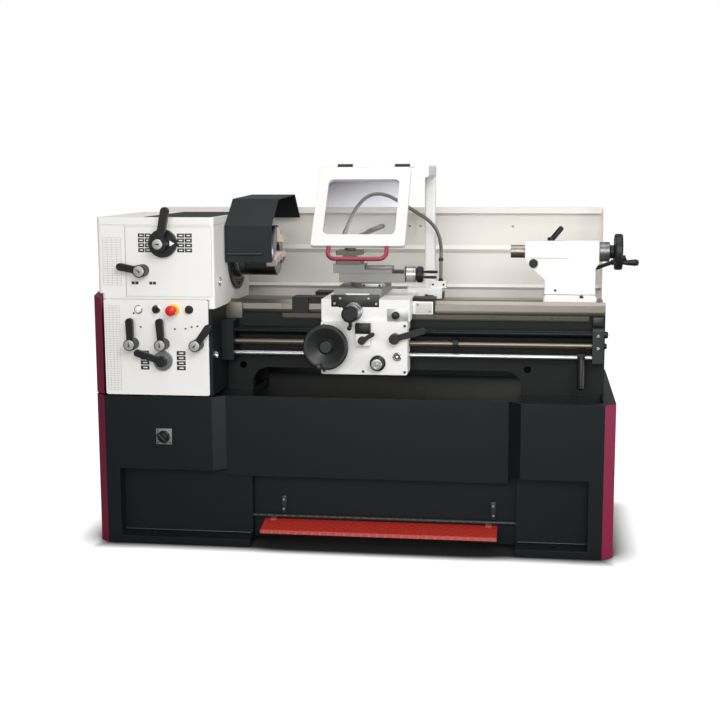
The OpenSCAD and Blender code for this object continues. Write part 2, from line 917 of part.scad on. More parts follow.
module feed_rod() {
    key_w = 6;
    stop_x = saddle_right + 172.5;
    color(steel) {
        difference() {
            rod_x(rod_r, gearbox_right + 5, bracket_right - 4, rod_y0, feed_rod_z);
            box(
                [screw_box_right + 20, rod_y0 - key_w / 2, feed_rod_z + rod_r - 4],
                [stop_x - 20, rod_y0 + key_w / 2, feed_rod_z + rod_r + 1]
            );
        }
        rod_x(rod_r + 9, stop_x - 11, stop_x + 11, rod_y0, feed_rod_z);
    }
}

module control_rod() {
    lever_x = bracket_left - 40;
    color(steel) {
        rod_x(rod_r, gearbox_right + 5, bracket_right - 4, rod_y0, control_rod_z);
        rod_x(rod_r + 8, lever_x - 15, lever_x + 15, rod_y0, control_rod_z);
        bar([lever_x, rod_y0 - 16, control_rod_z + 8], [lever_x, rod_y0 - 38, control_rod_z - 110], 11);
    }
}

module tail_bracket() {
    color(graphite)
        difference() {
            along_x(bracket_left, bracket_right)
                rounded([rod_y0 - 32, control_rod_z - 22], [bed_y + wall_in, lead_screw_z + 24], 6);
            rod_x(lead_screw_r + fit, bracket_left - 1, bracket_right + 1, rod_y0, lead_screw_z);
            rod_x(rod_r + fit, bracket_left - 1, bracket_right + 1, rod_y0, feed_rod_z);
            rod_x(rod_r + fit, bracket_left - 1, bracket_right + 1, rod_y0, control_rod_z);
        }
}

// Carriage

module saddle() {
    front_wing_left = saddle_left - 132;
    front_wing_right = saddle_right + 88;
    rear_wing_left = saddle_left - 80;
    rear_wing_right = post_block_right + 4;
    wiper_w = 65;
    color(white)
        difference() {
            union() {
                box([saddle_left, saddle_y, bed_z], [saddle_right, saddle_back, saddle_top]);
                box([saddle_left, saddle_y, skirt_z], [saddle_right, skirt_back, bed_z + 1]);
                box(
                    [cross_left, saddle_y, bed_z], [cross_right, saddle_y + screw_bracket_d, screw_bracket_top]
                );
                box([front_wing_left, bed_y, bed_z], [front_wing_right, bed_y + rail_w, bed_z + wing_h]);
                box([rear_wing_left, bed_back_y - rail_w, bed_z], [rear_wing_right, bed_back_y, bed_z + wing_h]);
                for (x = [front_wing_left, front_wing_right - wiper_w])
                    box([x, bed_y - 12, bed_z - 36], [x + wiper_w, bed_y - gap, bed_z + wing_h]);
                for (x = [front_wing_left, front_wing_right - wiper_w])
                    box([x, bed_y - 1, bed_z + 1], [x + wiper_w, bed_y + 1, bed_z + wing_h]);
                translate([carriage_x - 40, 0, saddle_top])
                    along_y(cross_front, cross_back)
                        dovetail(dovetail_half, dovetail_lean, dovetail_h, 0);
            }
            vee_groove(front_wing_left - 1, front_wing_right + 1);
            rod_y(cross_shaft_r + fit, saddle_y - 1, saddle_y + 60, cross_screw_at[0], cross_screw_at[1]);
            rod_y(lever_shaft_r + fit, saddle_y - 1, saddle_y + shaft_depth, saddle_knob_at[0], saddle_knob_at[1]);
        }
}

module apron() {
    edge_r = 8;
    rod_clear = 1.5;
    nut = half_nut_box;
    color(white)
        difference() {
            union() {
                along_y(apron_y, skirt_back)
                    rounded([saddle_left, apron_z], [saddle_right - 7, skirt_z], edge_r);
                box(
                    [half_nut_at[0] - nut[0] / 2, apron_y - nut[1], half_nut_at[1] - 23],
                    [half_nut_at[0] + nut[0] / 2, apron_y + 1, half_nut_at[1] - 23 + nut[2]]
                );
            }
            rod_x(lead_screw_r + rod_clear, saddle_left - 1, saddle_right, rod_y0, lead_screw_z);
            rod_x(rod_r + rod_clear, saddle_left - 1, saddle_right, rod_y0, feed_rod_z);
            rod_x(rod_r + rod_clear, saddle_left - 1, saddle_right, rod_y0, control_rod_z);
            rod_y(
                handwheel_shaft_r + fit, apron_y - 1, apron_y + shaft_depth, carriage_wheel_at[0], carriage_wheel_at[1]
            );
            rod_y(
                lever_shaft_r + fit, apron_y - nut[1] - 1, apron_y - nut[1] + shaft_depth, half_nut_at[0], half_nut_at[1]
            );
            for (at = [apron_lever_at, apron_knob_at])
                rod_y(lever_shaft_r + fit, apron_y - 1, apron_y + shaft_depth, at[0], at[1]);
        }
}

module carriage_handwheel() {
    rim_r = 87;
    rim_out = 78;
    knob_r = 9;
    knob_at = 71;
    color(black)
        translate([carriage_wheel_at[0], apron_y, carriage_wheel_at[1]]) {
            turned_out([
                [0, 1], [24, 1], [24, 40], [34, 52], [66, 70], [74, 66], [82, 66], [rim_r, 71], [rim_r, 78],
                [82, 83], [74, 83], [66, 80], [30, 62], [22, 74], [0, 74]
            ]);
            rod_y(handwheel_shaft_r, -10, shaft_depth - 4, 0, 0);
            rotate([0, 195, 0]) {
                rod_y(5, -rim_out - 20, -rim_out + 4, 0, knob_at);
                translate([0, -rim_out - 8, knob_at])
                    turned_out([[0, 0], [8, 0], [knob_r, 10], [13, 34], [13, 42], [9, 48], [0, 50]]);
            }
        }
}

module half_nut_lever() {
    color(black)
        translate([half_nut_at[0], apron_y - half_nut_box[1], half_nut_at[1]]) face_lever(54, 60, 15, 30, 16, 12);
}

module apron_lever() {
    color(black)
        translate([apron_lever_at[0], apron_y, apron_lever_at[1]]) face_lever(124, 74, 20, 40, 24, 16);
}

module apron_knob() {
    color(steel)
        translate([apron_knob_at[0], apron_y, apron_knob_at[1]]) {
            turned_out([[0, 1], [30, 1], [30, 12], [16, 18], [16, 26], [25, 30], [25, 40], [22, 43], [0, 43]]);
            rod_y(lever_shaft_r, -6, shaft_depth - 4, 0, 0);
        }
}

module saddle_knob() {
    color(black)
        translate([saddle_knob_at[0], saddle_y, saddle_knob_at[1]]) {
            turned_out([[0, 1], [15, 1], [15, 16], [11, 24], [0, 26]]);
            rod_y(lever_shaft_r, -6, shaft_depth - 4, 0, 0);
        }
}

module cross_slide() {
    slot_w = 12;
    slot_depth = 14;
    color(graphite)
        difference() {
            box([cross_left, cross_front, saddle_top], [cross_right, cross_back, cross_top]);
            translate([carriage_x - 40, 0, saddle_top])
                along_y(cross_front - 1, cross_back + 1)
                    dovetail(dovetail_half, dovetail_lean, dovetail_h, gap);
            for (y = [cross_back - 50, cross_back - 90])
                box([cross_left - 1, y, cross_top - slot_depth], [cross_right + 1, y + slot_w, cross_top + 1]);
            rod_z(tool_stud_r + fit, cross_top - 12, cross_top + 1, swivel_at[0], swivel_at[1]);
        }
}

module ball_handle(out, r) {
    rod_y(4, -out - 30, -out, 0, r);
    translate([0, -out - 14, r]) turned_out([[0, 0], [5, 0], [7, 10], [9, 26], [6, 34], [0, 36]]);
}

module cross_handwheel() {
    arm_r = 48;
    color(steel)
        translate([cross_screw_at[0], saddle_y, cross_screw_at[1]]) {
            turned_out([
                [0, 1], [30, 1], [30, 26], [24, 28], [24, 50], [31, 54], [31, 66], [18, 74], [18, 112], [31, 114],
                [31, 126], [24, 132], [0, 132]
            ]);
            rod_y(cross_shaft_r, -10, 50, 0, 0);
            for (turn = [-38, 176])
                rotate([0, turn, 0]) {
                    bar([0, -120, 24], [0, -120, arm_r], 7);
                    ball_handle(118, arm_r);
                }
        }
}

module compound_base() {
    color(steel)
        difference() {
            union() {
                rod_z(swivel_r, cross_top, compound_z + 1, swivel_at[0], swivel_at[1]);
                rod_z(tool_stud_r, cross_top - 11, cross_top + 1, swivel_at[0], swivel_at[1]);
                box(
                    [compound_left, swivel_at[1] - compound_half_w, compound_z],
                    [compound_right, swivel_at[1] + compound_half_w, compound_top]
                );
                translate([0, swivel_at[1], compound_top])
                    along_x(compound_left, compound_right)
                        dovetail(compound_tail_half, compound_tail_lean, compound_tail_h, 0);
            }
            rod_x(compound_shaft_r + fit, compound_right - 40, compound_right + 1, swivel_at[1], compound_screw_z);
        }
}

module top_slide() {
    step_x = top_slide_left + 127;
    tail_z = compound_top + compound_tail_h + 3;
    color(steel) {
        difference() {
            along_y(swivel_at[1] - compound_half_w + 2, swivel_at[1] + compound_half_w - 2)
                polygon([
                    [top_slide_left, compound_top], [top_slide_right, compound_top], [top_slide_right, tail_z],
                    [step_x, tail_z], [step_x, top_slide_z], [top_slide_left, top_slide_z]
                ]);
            translate([0, swivel_at[1], compound_top])
                along_x(top_slide_left - 1, top_slide_right + 1)
                    dovetail(compound_tail_half, compound_tail_lean, compound_tail_h, gap);
        }
        rod_z(tool_stud_r, top_slide_z - 1, tool_post_top + 12, tool_post_at[0], tool_post_at[1]);
    }
}

module top_slide_handwheel() {
    hub_end = 69;
    grip_at = 25;
    color(steel)
        translate([compound_right, swivel_at[1], compound_screw_z]) {
            turned_right([
                [0, 1], [29, 1], [31, 4], [31, 40], [26, 42], [26, 44], [32, 46], [32, 64], [27, hub_end], [0, hub_end]
            ]);
            rod_x(compound_shaft_r, -34, 10, 0, 0);
            for (turn = [110, 290])
                rotate([turn, 0, 0])
                    translate([hub_end - 2, 0, grip_at])
                        turned_right([[0, 0], [4, 0], [4, 6], [5, 8], [6, 24], [6, 48], [4, 56], [0, 58]]);
        }
}

module tool_post() {
    half = tool_post_w / 2;
    slot_depth = 24;
    color(steel)
        translate([tool_post_at[0], tool_post_at[1], top_slide_z])
            difference() {
                linear_extrude(tool_post_h) rounded([-half, -half], [half, half], 6);
                rod_z(tool_stud_r + fit, -1, tool_post_h + 1, 0, 0);
                for (turn = [0, 90, 180, 270])
                    rotate([0, 0, turn]) box([-half - 1, -half - 1, 16], [half + 1, slot_depth - half, 36]);
            }
}

module tool_post_lever() {
    hub_h = 20;
    grip_r = 9;
    color(steel)
        translate([tool_post_at[0], tool_post_at[1], tool_post_top + gap])
            difference() {
                union() {
                    rod_z(22, 0, hub_h, 0, 0);
                    bar([0, 0, 9], [84, -34, 20], 6);
                    bar([64, -26, 17], [112, -46, 24], grip_r);
                }
                rod_z(tool_stud_r + fit, -1, 13, 0, 0);
            }
}

// Shield and coolant

module shield_post() {
    top_z = axis_z + 336;
    arm_left = post_at[0] - 31;
    arm_right = post_at[0] + 23;
    arm_h = 45;
    step_x = saddle_right + gap;
    lip_back = bed_back_y - rail_w - gap;
    pin_left = shield_x - shield_hub_x[0] - 5;
    color(white)
        difference() {
            union() {
                along_y(post_block_y, bed_back_y - 3)
                    polygon([
                        [post_block_left, saddle_top], [step_x, saddle_top], [step_x, post_block_z],
                        [post_block_right, post_block_z], [post_block_right, post_block_top],
                        [post_block_left, post_block_top]
                    ]);
                box([step_x, post_block_y, bed_z + 4], [post_block_right, lip_back, post_block_top]);
                box(
                    [post_block_right - 48, pipe_y - 18, post_block_top - 1],
                    [post_block_right + 18, pipe_y + 27, manifold_top]
                );
                translate([0, 0, post_block_top - 1]) linear_extrude(top_z - post_block_top)
                    rounded(post_at - [post_half, post_half], post_at + [post_half, post_half], 8);
                along_y(shield_pin_y - 12, post_at[1])
                    rounded([arm_left, top_z - 1 - arm_h], [arm_right, top_z - 1], 8);
                rod_x(shield_pin_r, pin_left, arm_left + 1, shield_pin_y, shield_pin_z);
            }
            rod_y(tap_pin_r + fit, post_block_y - 1, lip_back + 1, tap_at[0], tap_at[1]);
        }
}

module on_shield() {
    translate([shield_x, shield_pin_y, shield_pin_z]) rotate([-shield_lean, 0, 0]) children();
}

module shield_frame() {
    half = shield_w / 2;
    hub_r = 10;
    hub_l = 57;
    top = -shield_edge;
    color(white)
        on_shield()
            difference() {
                union() {
                    along_y(-shield_t / 2, shield_t / 2)
                        difference() {
                            rounded([-half, top - shield_l], [half, top], 12);
                            rounded(
                                [window_margin_x - half, window_margin_bottom + top - shield_l],
                                [half - window_margin_x, top - window_margin_top], 20
                            );
                        }
                    for (x = [-shield_hub_x[0], shield_hub_x[1]]) {
                        rod_x(hub_r, x, x + hub_l, 0, 0);
                        box([x, -shield_t / 2, top - 2], [x + hub_l, shield_t / 2, -6]);
                    }
                }
                rod_x(shield_pin_r + fit, -half, half, 0, 0);
            }
}

module shield_window() {
    half = shield_w / 2 - window_margin_x + window_lap;
    top = window_lap - shield_edge - window_margin_top;
    bottom = window_margin_bottom - window_lap - shield_edge - shield_l;
    color([0.8, 0.9, 0.95, 0.4])
        on_shield() along_y(shield_t / 2, shield_t / 2 + window_t) rounded([-half, bottom], [half, top], 22);
}

module shield_handle() {
    tube_r = 8;
    left = -106;
    right = 108;
    bend = 28;
    top = -shield_edge - shield_l;
    bottom = top - 54;
    color(burgundy)
        on_shield() {
            for (x = [left, right]) rod_z(tube_r, bottom + bend, top, x, 0);
            rod_x(tube_r, left + bend, right - bend, 0, bottom);
            translate([left + bend, 0, bottom + bend]) rotate([90, 0, 0])
                rotate_extrude(angle = 90, start = 180) translate([bend, 0]) circle(tube_r);
            translate([right - bend, 0, bottom + bend]) rotate([90, 0, 0])
                rotate_extrude(angle = 90, start = 270) translate([bend, 0]) circle(tube_r);
        }
}

// Route of the coolant pipe from the manifold to its nozzle
pipe_route = [
    [0, 0, 0], [0, 0, 44], [0, 0, 88], [0, -2, 136], [-12, -14, 193], [-41, -30, 237], [-84, -48, 270],
    [-121, -64, 294], [-169, -80, 324], [-208, -96, 344], [-249, -112, 350], [-284, -128, 338], [-314, -144, 308],
    [-338, -160, 267], [-357, -176, 221], [-366, -188, 192]
];
pipe_sides = 10;
function route_dir(i) =
    unit(pipe_route[min(i + 1, len(pipe_route) - 1)] - pipe_route[max(i - 1, 0)]);
function ring_side(i) = unit(cross(route_dir(i), [0.3, -1, 0.2]));
function ring_point(i, k) =
    let (s = ring_side(i), u = cross(route_dir(i), s), a = 360 * k / pipe_sides)
    pipe_route[i] + pipe_r * (s * cos(a) + u * sin(a));

module coolant_pipe() {
    rings = len(pipe_route);
    n = pipe_sides;
    points = [for (i = [0:rings - 1], k = [0:n - 1]) ring_point(i, k)];
    faces = concat(
        [[for (k = [0:n - 1]) k]],
        [for (i = [0:rings - 2], k = [0:n - 1])
            [i * n + k, (i + 1) * n + k, (i + 1) * n + (k + 1) % n, i * n + (k + 1) % n]],
        [[for (k = [n - 1:-1:0]) (rings - 1) * n + k]]
    );
    color(steel)
        translate([post_block_right - 6, pipe_y, manifold_top])
            polyhedron(points, faces);
}

module coolant_tap() {
    color(black)
        translate([tap_at[0], post_block_y, tap_at[1]]) {
            rod_y(7, -14, -gap, 0, 0);
            rod_y(tap_pin_r, -4, 16, 0, 0);
            along_y(-14, -8) rounded([-4, -4], [30, 4], 3);
        }
}

// Tailstock

module tailstock_base() {
    color(white)
        difference() {
            union() {
                translate([0, 0, bed_z]) linear_extrude(tail_base_h - 14)
                    rounded(
                        [tail_base_left, -tail_base_half_w], [tail_base_right, tail_base_half_w], 10
                    );
                translate([0, 0, bed_z + 20]) linear_extrude(tail_base_h - 20)
                    rounded(
                        [tail_base_left + 4, 12 - tail_base_half_w], [tail_base_right - 4, tail_base_half_w - 12], 8
                    );
            }
            vee_groove(tail_base_left - 1, tail_base_right + 1);
        }
}

module tailstock() {
    seat_z = bed_z + tail_base_h;
    half = tailstock_half_w;
    left = tailstock_x;
    right = tailstock_right;
    bore_end = right - 26;
    color(white)
        difference() {
            union() {
                intersection() {
                    along_y(-half, half)
                        polygon([
                            [left, tailstock_top], [right, tailstock_top], [right, axis_z - 40],
                            [tail_base_right - 6, axis_z - 62], [tail_base_right - 6, seat_z],
                            [tail_base_left + 6, seat_z], [tail_base_left + 6, axis_z - 106],
                            [left + 6, axis_z - 43], [left, axis_z - 24]
                        ]);
                    along_x(left, right) rounded([-half, seat_z - 50], [half, tailstock_top], 32);
                }
                rod_y(17, -half - 16, 4 - half, left + 33, axis_z - 42);
            }
            rod_x(quill_r + fit, left - 1, bore_end, 0, axis_z);
            rod_x(tail_shaft_r + fit, bore_end - 1, right + 1, 0, axis_z);
            rod_y(handwheel_shaft_r + fit, half - 40, half + 1, tail_clamp_at[0], tail_clamp_at[1]);
            rod_z(lever_shaft_r + fit, tailstock_top - 16, tailstock_top + 1, quill_lever_x, 0);
        }
}

module quill() {
    taper_r = 14;
    end_x = tailstock_right - 60;
    color(steel)
        difference() {
            rod_x(quill_r, tailstock_x - quill_out, end_x, 0, axis_z);
            translate([tailstock_x - quill_out - 1, 0, axis_z]) rotate([0, 90, 0])
                cylinder(r1 = taper_r, r2 = taper_r - 4, h = 100);
        }
}

module tailstock_handwheel() {
    rim_r = 70;
    grip_at = 57;
    color(black)
        translate([tailstock_right, 0, axis_z]) {
            turned_right([
                [0, 3], [38, 3], [38, 40], [26, 44], [26, 56], [58, 64], [62, 60], [rim_r - 3, 60], [rim_r, 66],
                [rim_r, 84], [rim_r - 3, 90], [62, 90], [56, 84], [24, 76], [20, 86], [0, 86]
            ]);
            rod_x(tail_shaft_r, -24, 10, 0, 0);
            rotate([132, 0, 0]) {
                rod_x(6, 70, 100, 0, grip_at);
                translate([90, 0, grip_at]) turned_right([[0, 0], [8, 0], [10, 14], [13, 46], [11, 58], [0, 62]]);
            }
        }
}

module quill_lever() {
    color(black)
        translate([quill_lever_x, 0, tailstock_top]) {
            rod_z(14, gap, 14, 0, 0);
            rod_z(lever_shaft_r, -12, 4, 0, 0);
            bar([0, 0, 8], [38, 0, 54], 6);
            translate([38, 0, 54]) sphere(r = 11);
        }
}

module tailstock_clamp() {
    half = tailstock_half_w;
    color(black)
        translate([tail_clamp_at[0], half, tail_clamp_at[1]]) {
            rod_y(20, gap, 34, 0, 0);
            rod_y(handwheel_shaft_r, -36, 4, 0, 0);
            bar([0, 25, 0], [88, 25, 32], 8);
            bar([80, 25, 29], [136, 25, 50], 11);
        }
}

left_cabinet();
right_cabinet();
chip_tray();
end_claddings();
splash_guard();
bed();
rack();
headstock();
top_mat();
gearbox();
gearbox_panel();
end_cover();
bearing_cover();
tail_bracket();
treadle();
main_switch();
spindle();
chuck();
jaw_1();
jaw_2();
jaw_3();
chuck_guard();
speed_lever();
range_lever();
feed_lever_a();
feed_lever_b();
feed_lever_c();
feed_dial();
emergency_stop();
start_button();
mode_selector();
lead_screw();
feed_rod();
control_rod();
saddle();
apron();
carriage_handwheel();
half_nut_lever();
apron_lever();
apron_knob();
saddle_knob();
cross_slide();
cross_handwheel();
compound_base();
top_slide();
top_slide_handwheel();
tool_post();
tool_post_lever();
shield_post();
shield_frame();
shield_window();
shield_handle();
coolant_pipe();
coolant_tap();
tailstock_base();
tailstock();
quill();
tailstock_handwheel();
quill_lever();
tailstock_clamp();
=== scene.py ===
import math

import bpy
from mathutils import Matrix, Vector


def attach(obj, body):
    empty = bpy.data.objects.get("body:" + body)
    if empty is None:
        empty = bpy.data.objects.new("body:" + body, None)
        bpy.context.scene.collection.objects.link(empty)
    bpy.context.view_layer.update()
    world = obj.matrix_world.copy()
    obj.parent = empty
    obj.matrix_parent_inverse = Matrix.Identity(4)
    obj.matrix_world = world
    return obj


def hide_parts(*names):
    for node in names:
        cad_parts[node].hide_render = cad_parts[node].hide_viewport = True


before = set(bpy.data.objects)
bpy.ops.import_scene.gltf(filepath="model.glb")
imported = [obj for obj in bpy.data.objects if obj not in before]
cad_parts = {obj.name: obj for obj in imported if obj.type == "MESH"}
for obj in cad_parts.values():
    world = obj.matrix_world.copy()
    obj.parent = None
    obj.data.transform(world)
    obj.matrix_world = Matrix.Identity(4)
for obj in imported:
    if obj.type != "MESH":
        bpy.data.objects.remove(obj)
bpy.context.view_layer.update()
scene = bpy.context.scene

# Places are in millimetres in the calls below, as in the part's source.
MM = 0.001
RIGHT = Vector((1, 0, 0))
FRONT = Vector((0, -1, 0))
UP = Vector((0, 0, 1))


def colour(text):
    """An sRGB hex value as linear red, green, blue and alpha."""
    parts = [int(text[i:i + 2], 16) / 255 for i in (1, 3, 5)]
    return [p / 12.92 if p <= 0.04045 else ((p + 0.055) / 1.055) ** 2.4 for p in parts] + [1.0]


def add(tree, kind, sockets=None, **settings):
    """One shader node with its settings; a socket takes a value or (node, output)."""
    n = tree.nodes.new(kind)
    for name, value in settings.items():
        setattr(n, name, value)
    for name, value in (sockets or {}).items():
        if isinstance(value, tuple) and isinstance(value[0], bpy.types.Node):
            tree.links.new(value[0].outputs[value[1]], n.inputs[name])
        else:
            n.inputs[name].default_value = value
    return n


def finish(name, **sockets):
    """A new material, its node tree, its shader and its object coordinates."""
    material = bpy.data.materials.new(name)
    material.use_nodes = True
    tree = material.node_tree
    shader = tree.nodes["Principled BSDF"]
    for key, value in sockets.items():
        shader.inputs[key.replace("_", " ")].default_value = value
    return material, tree, shader, add(tree, "ShaderNodeTexCoord")


# Powder coat: sprayed and baked, so it has a fine orange peel and soft sheen. The real peel is about 1 mm
# across; it is drawn 4 mm across so that it shows.
def powder_coat(name, base, shade, roughness, peel=0.05, sheen=0.5):
    material, tree, shader, place = finish(name, Roughness=roughness, IOR=1.5, Specular_IOR_Level=sheen)
    peel_mm = 4
    noise = add(tree, "ShaderNodeTexNoise", {
        "Vector": (place, "Object"), "Scale": 1000 / peel_mm, "Detail": 3
    })
    cloud = add(tree, "ShaderNodeTexNoise", {"Vector": (place, "Object"), "Scale": 3.5, "Detail": 4})
    mix = add(tree, "ShaderNodeMixRGB", {
        "Fac": (cloud, "Fac"), "Color1": colour(shade), "Color2": colour(base)
    })
    soft = add(tree, "ShaderNodeBevel", {"Radius": 0.0025}, samples=4)
    bump = add(tree, "ShaderNodeBump", {
        "Height": (noise, "Fac"), "Strength": peel, "Distance": 0.001, "Normal": (soft, "Normal")
    })
    tree.links.new(mix.outputs["Color"], shader.inputs["Base Color"])
    tree.links.new(bump.outputs["Normal"], shader.inputs["Normal"])
    return material


graphite = powder_coat("graphite_powder_coat", "#11171A", "#0D1315", 0.42, sheen=0.26)
guard_grey = powder_coat("guard_powder_coat", "#11181B", "#0D1416", 0.40, sheen=0.26)
burgundy = powder_coat("burgundy_powder_coat", "#80153C", "#781338", 0.40)
white = powder_coat("white_powder_coat", "#F4F3F0", "#F0EEEA", 0.38)
splash_white = powder_coat("splash_guard_coat", "#EAE6DF", "#E5E1D9", 0.4)
# Shield frame: white paint given a greyer colour as painted shade.
shield_white = powder_coat("shield_frame_white_painted_greyer", "#D9D8D6", "#D4D2CF", 0.34)
black_coat = powder_coat("black_powder_coat", "#1C1E1F", "#161718", 0.42)
# Pale grey coat for the painted highlights on the cabinet panels' folded edges.
edge_highlight_coat = powder_coat("painted_edge_highlight_coat", "#5A6063", "#4A5053", 0.4)
magenta = powder_coat("magenta_tube_coat", "#931E49", "#8A1B42", 0.28, 0.02)


# Moulded plastic and printed ink: a fine spark-eroded grain, drawn 2 mm across, and a low sheen.
def moulded(name, base, roughness):
    material, tree, shader, place = finish(name, Roughness=roughness, IOR=1.53, Specular_IOR_Level=0.36)
    grain_mm = 2
    noise = add(tree, "ShaderNodeTexNoise", {
        "Vector": (place, "Object"), "Scale": 1000 / grain_mm, "Detail": 2
    })
    ramp = add(tree, "ShaderNodeMixRGB", {
        "Fac": (noise, "Fac"), "Color1": colour(base), "Color2": [min(1, c * 1.25) for c in colour(base)]
    })
    soft = add(tree, "ShaderNodeBevel", {"Radius": 0.0015}, samples=4)
    bump = add(tree, "ShaderNodeBump", {
        "Height": (noise, "Fac"), "Strength": 0.08, "Distance": 0.0006, "Normal": (soft, "Normal")
    })
    tree.links.new(ramp.outputs["Color"], shader.inputs["Base Color"])
    tree.links.new(bump.outputs["Normal"], shader.inputs["Normal"])
    return material


black_plastic = moulded("black_abs", "#101011", 0.42)
red_plastic = moulded("red_abs", "#D0231D", 0.3)
yellow_plastic = moulded("yellow_abs", "#F0CC2E", 0.35)
white_plastic = moulded("white_lamp_acrylic", "#F4F3EF", 0.25)
ink = moulded("dark_panel_ink", "#333436", 0.6)
grey_ink = moulded("grey_panel_ink", "#BDBBB8", 0.6)
white_ink = moulded("white_panel_ink", "#EFEEEC", 0.6)


# Turned or ground steel: bare metal with fine tool lines across the feed, drawn about 1.5 mm apart.
def machined(name, base, roughness, stretch, metal=1.0):
    material, tree, shader, place = finish(name, Roughness=roughness, Metallic=metal)
    lines = add(tree, "ShaderNodeMapping", {"Vector": (place, "Object"), "Scale": stretch})
    noise = add(tree, "ShaderNodeTexNoise", {"Vector": (lines, "Vector"), "Scale": 650, "Detail": 2})
    mix = add(tree, "ShaderNodeMixRGB", {
        "Fac": (noise, "Fac"), "Color1": [c * 0.82 for c in colour(base)[:3]] + [1], "Color2": colour(base)
    })
    rough = add(tree, "ShaderNodeMapRange", {
        "Value": (noise, "Fac"), "To Min": roughness - 0.06, "To Max": roughness + 0.06
    })
    soft = add(tree, "ShaderNodeBevel", {"Radius": 0.0012}, samples=4)
    bump = add(tree, "ShaderNodeBump", {
        "Height": (noise, "Fac"), "Strength": 0.06, "Distance": 0.0004, "Normal": (soft, "Normal")
    })
    tree.links.new(mix.outputs["Color"], shader.inputs["Base Color"])
    tree.links.new(rough.outputs["Result"], shader.inputs["Roughness"])
    tree.links.new(bump.outputs["Normal"], shader.inputs["Normal"])
    return material


turned_steel = machined("turned_steel", "#B4B6B7", 0.32, (1, 0.03, 0.03))
ground_steel = machined("ground_steel", "#A9ABAA", 0.36, (0.03, 1, 1))
oiled_steel = machined("oiled_rack_steel", "#59544C", 0.4, (1, 1, 0.05))
grey_iron = machined("scraped_grey_iron", "#B7B9BA", 0.45, (0.2, 1, 1), 0.85)
slide_iron = machined("scraped_slide_iron", "#8B8A87", 0.42, (0.2, 1, 1), 0.7)
tool_steel = machined("blued_tool_steel", "#6D6862", 0.4, (0.2, 1, 1), 0.8)
dull_plate = machined("dull_cover_plate", "#77736B", 0.5, (0.2, 1, 1), 0.6)
blackened = machined("blackened_steel", "#47494B", 0.38, (1, 0.1, 1))
chrome = machined("chrome_plate", "#D6D8DA", 0.12, (1, 1, 1))
# Chuck: steel colour darkened as painted shade from the guard above it.
chuck_steel = machined("chuck_steel_darkened_as_painted_shade", "#7E8081", 0.3, (0.03, 1, 1))
nickel_cap = machined("satin_nickel_cap", "#C9C9C6", 0.34, (1, 0.1, 1), 0.7)
jaw_steel = machined("bright_jaw_steel", "#E4D5CA", 0.42, (0.03, 1, 1), 0.35)
quill_steel = machined("oiled_quill_steel", "#938B81", 0.34, (1, 0.03, 0.03))
switch_plate = machined("brushed_switch_plate", "#8A8984", 0.5, (0.05, 1, 1), 0.4)
gooseneck = machined("wound_steel_gooseneck", "#8C8A86", 0.38, (1, 1, 1), 0.8)


# Two finishes on one casting or turned piece, such as paint and a bare ground face: inside and outside a band
# along one axis. Each is a colour, a roughness and how metallic it is. Some bands paint light instead: the
# claddings' dark tops are painted shade, and the saddle's dark wings are a painted reflection.
def parted(name, axis, centre, half, inside, outside):
    material, tree, shader, place = finish(name, Specular_IOR_Level=0.3)
    split = add(tree, "ShaderNodeSeparateXYZ", {"Vector": (place, "Object")})
    band = add(tree, "ShaderNodeMath", {0: (split, axis), 1: centre, 2: half}, operation="COMPARE")
    grain_mm = 4
    grain = add(tree, "ShaderNodeTexNoise", {
        "Vector": (place, "Object"), "Scale": 1000 / grain_mm, "Detail": 3
    })
    base = add(tree, "ShaderNodeMixRGB", {
        "Fac": (band, "Value"), "Color1": colour(outside[0]), "Color2": colour(inside[0])
    })
    shade = add(tree, "ShaderNodeMapRange", {"Value": (grain, "Fac"), "To Min": 0.9, "To Max": 1.06})
    tint = add(tree, "ShaderNodeVectorMath", {
        0: (base, "Color"), "Scale": (shade, "Result")
    }, operation="SCALE")
    rough = add(tree, "ShaderNodeMapRange", {
        "Value": (band, "Value"), "To Min": outside[1], "To Max": inside[1]
    })
    metal = add(tree, "ShaderNodeMapRange", {
        "Value": (band, "Value"), "To Min": outside[2], "To Max": inside[2]
    })
    soft = add(tree, "ShaderNodeBevel", {"Radius": 0.002}, samples=4)
    bump = add(tree, "ShaderNodeBump", {
        "Height": (grain, "Fac"), "Strength": 0.05, "Distance": 0.001, "Normal": (soft, "Normal")
    })
    tree.links.new(tint.outputs["Vector"], shader.inputs["Base Color"])
    tree.links.new(rough.outputs["Result"], shader.inputs["Roughness"])
    tree.links.new(metal.outputs["Result"], shader.inputs["Metallic"])
    tree.links.new(bump.outputs["Normal"], shader.inputs["Normal"])
    return material


WHITE_COAT = ("#F4F3F0", 0.38, 0)
BLACK_COAT = ("#1B1D1E", 0.42, 0)
STEEL = ("#B7B8B7", 0.32, 1)
bed_iron = parted(
    "painted_bed_with_ground_ways", "Z", 0.95, 0.0663, ("#8D8780", 0.36, 0.9), ("#080B0C", 0.5, 0)
)
# Saddle: white paint on its bridge; the bare steel wings outside the band are painted dark grey, not metal,
# as a painted reflection.
saddle_iron = parted("white_saddle_with_painted_reflection_wings", "X", 0.047, 0.1706, WHITE_COAT, ("#1E2021", 0.5, 0))
control_bar = parted("bar_with_black_lever", "X", 0.866, 0.0155, BLACK_COAT, STEEL)
feed_bar = parted("bar_with_black_collar", "X", 0.39, 0.0115, BLACK_COAT, ("#7D7468", 0.34, 0.9))
tail_coat = parted("white_casting_with_black_knob", "Y", -0.1, 0.0415, BLACK_COAT, WHITE_COAT)
tail_wheel = parted("black_wheel_with_steel_collar", "X", 0.953, 0.0188, ("#77787A", 0.36, 0.9), BLACK_COAT)
top_wheel = parted("black_crank_with_steel_collar", "X", 0.2015, 0.0215, STEEL, BLACK_COAT)
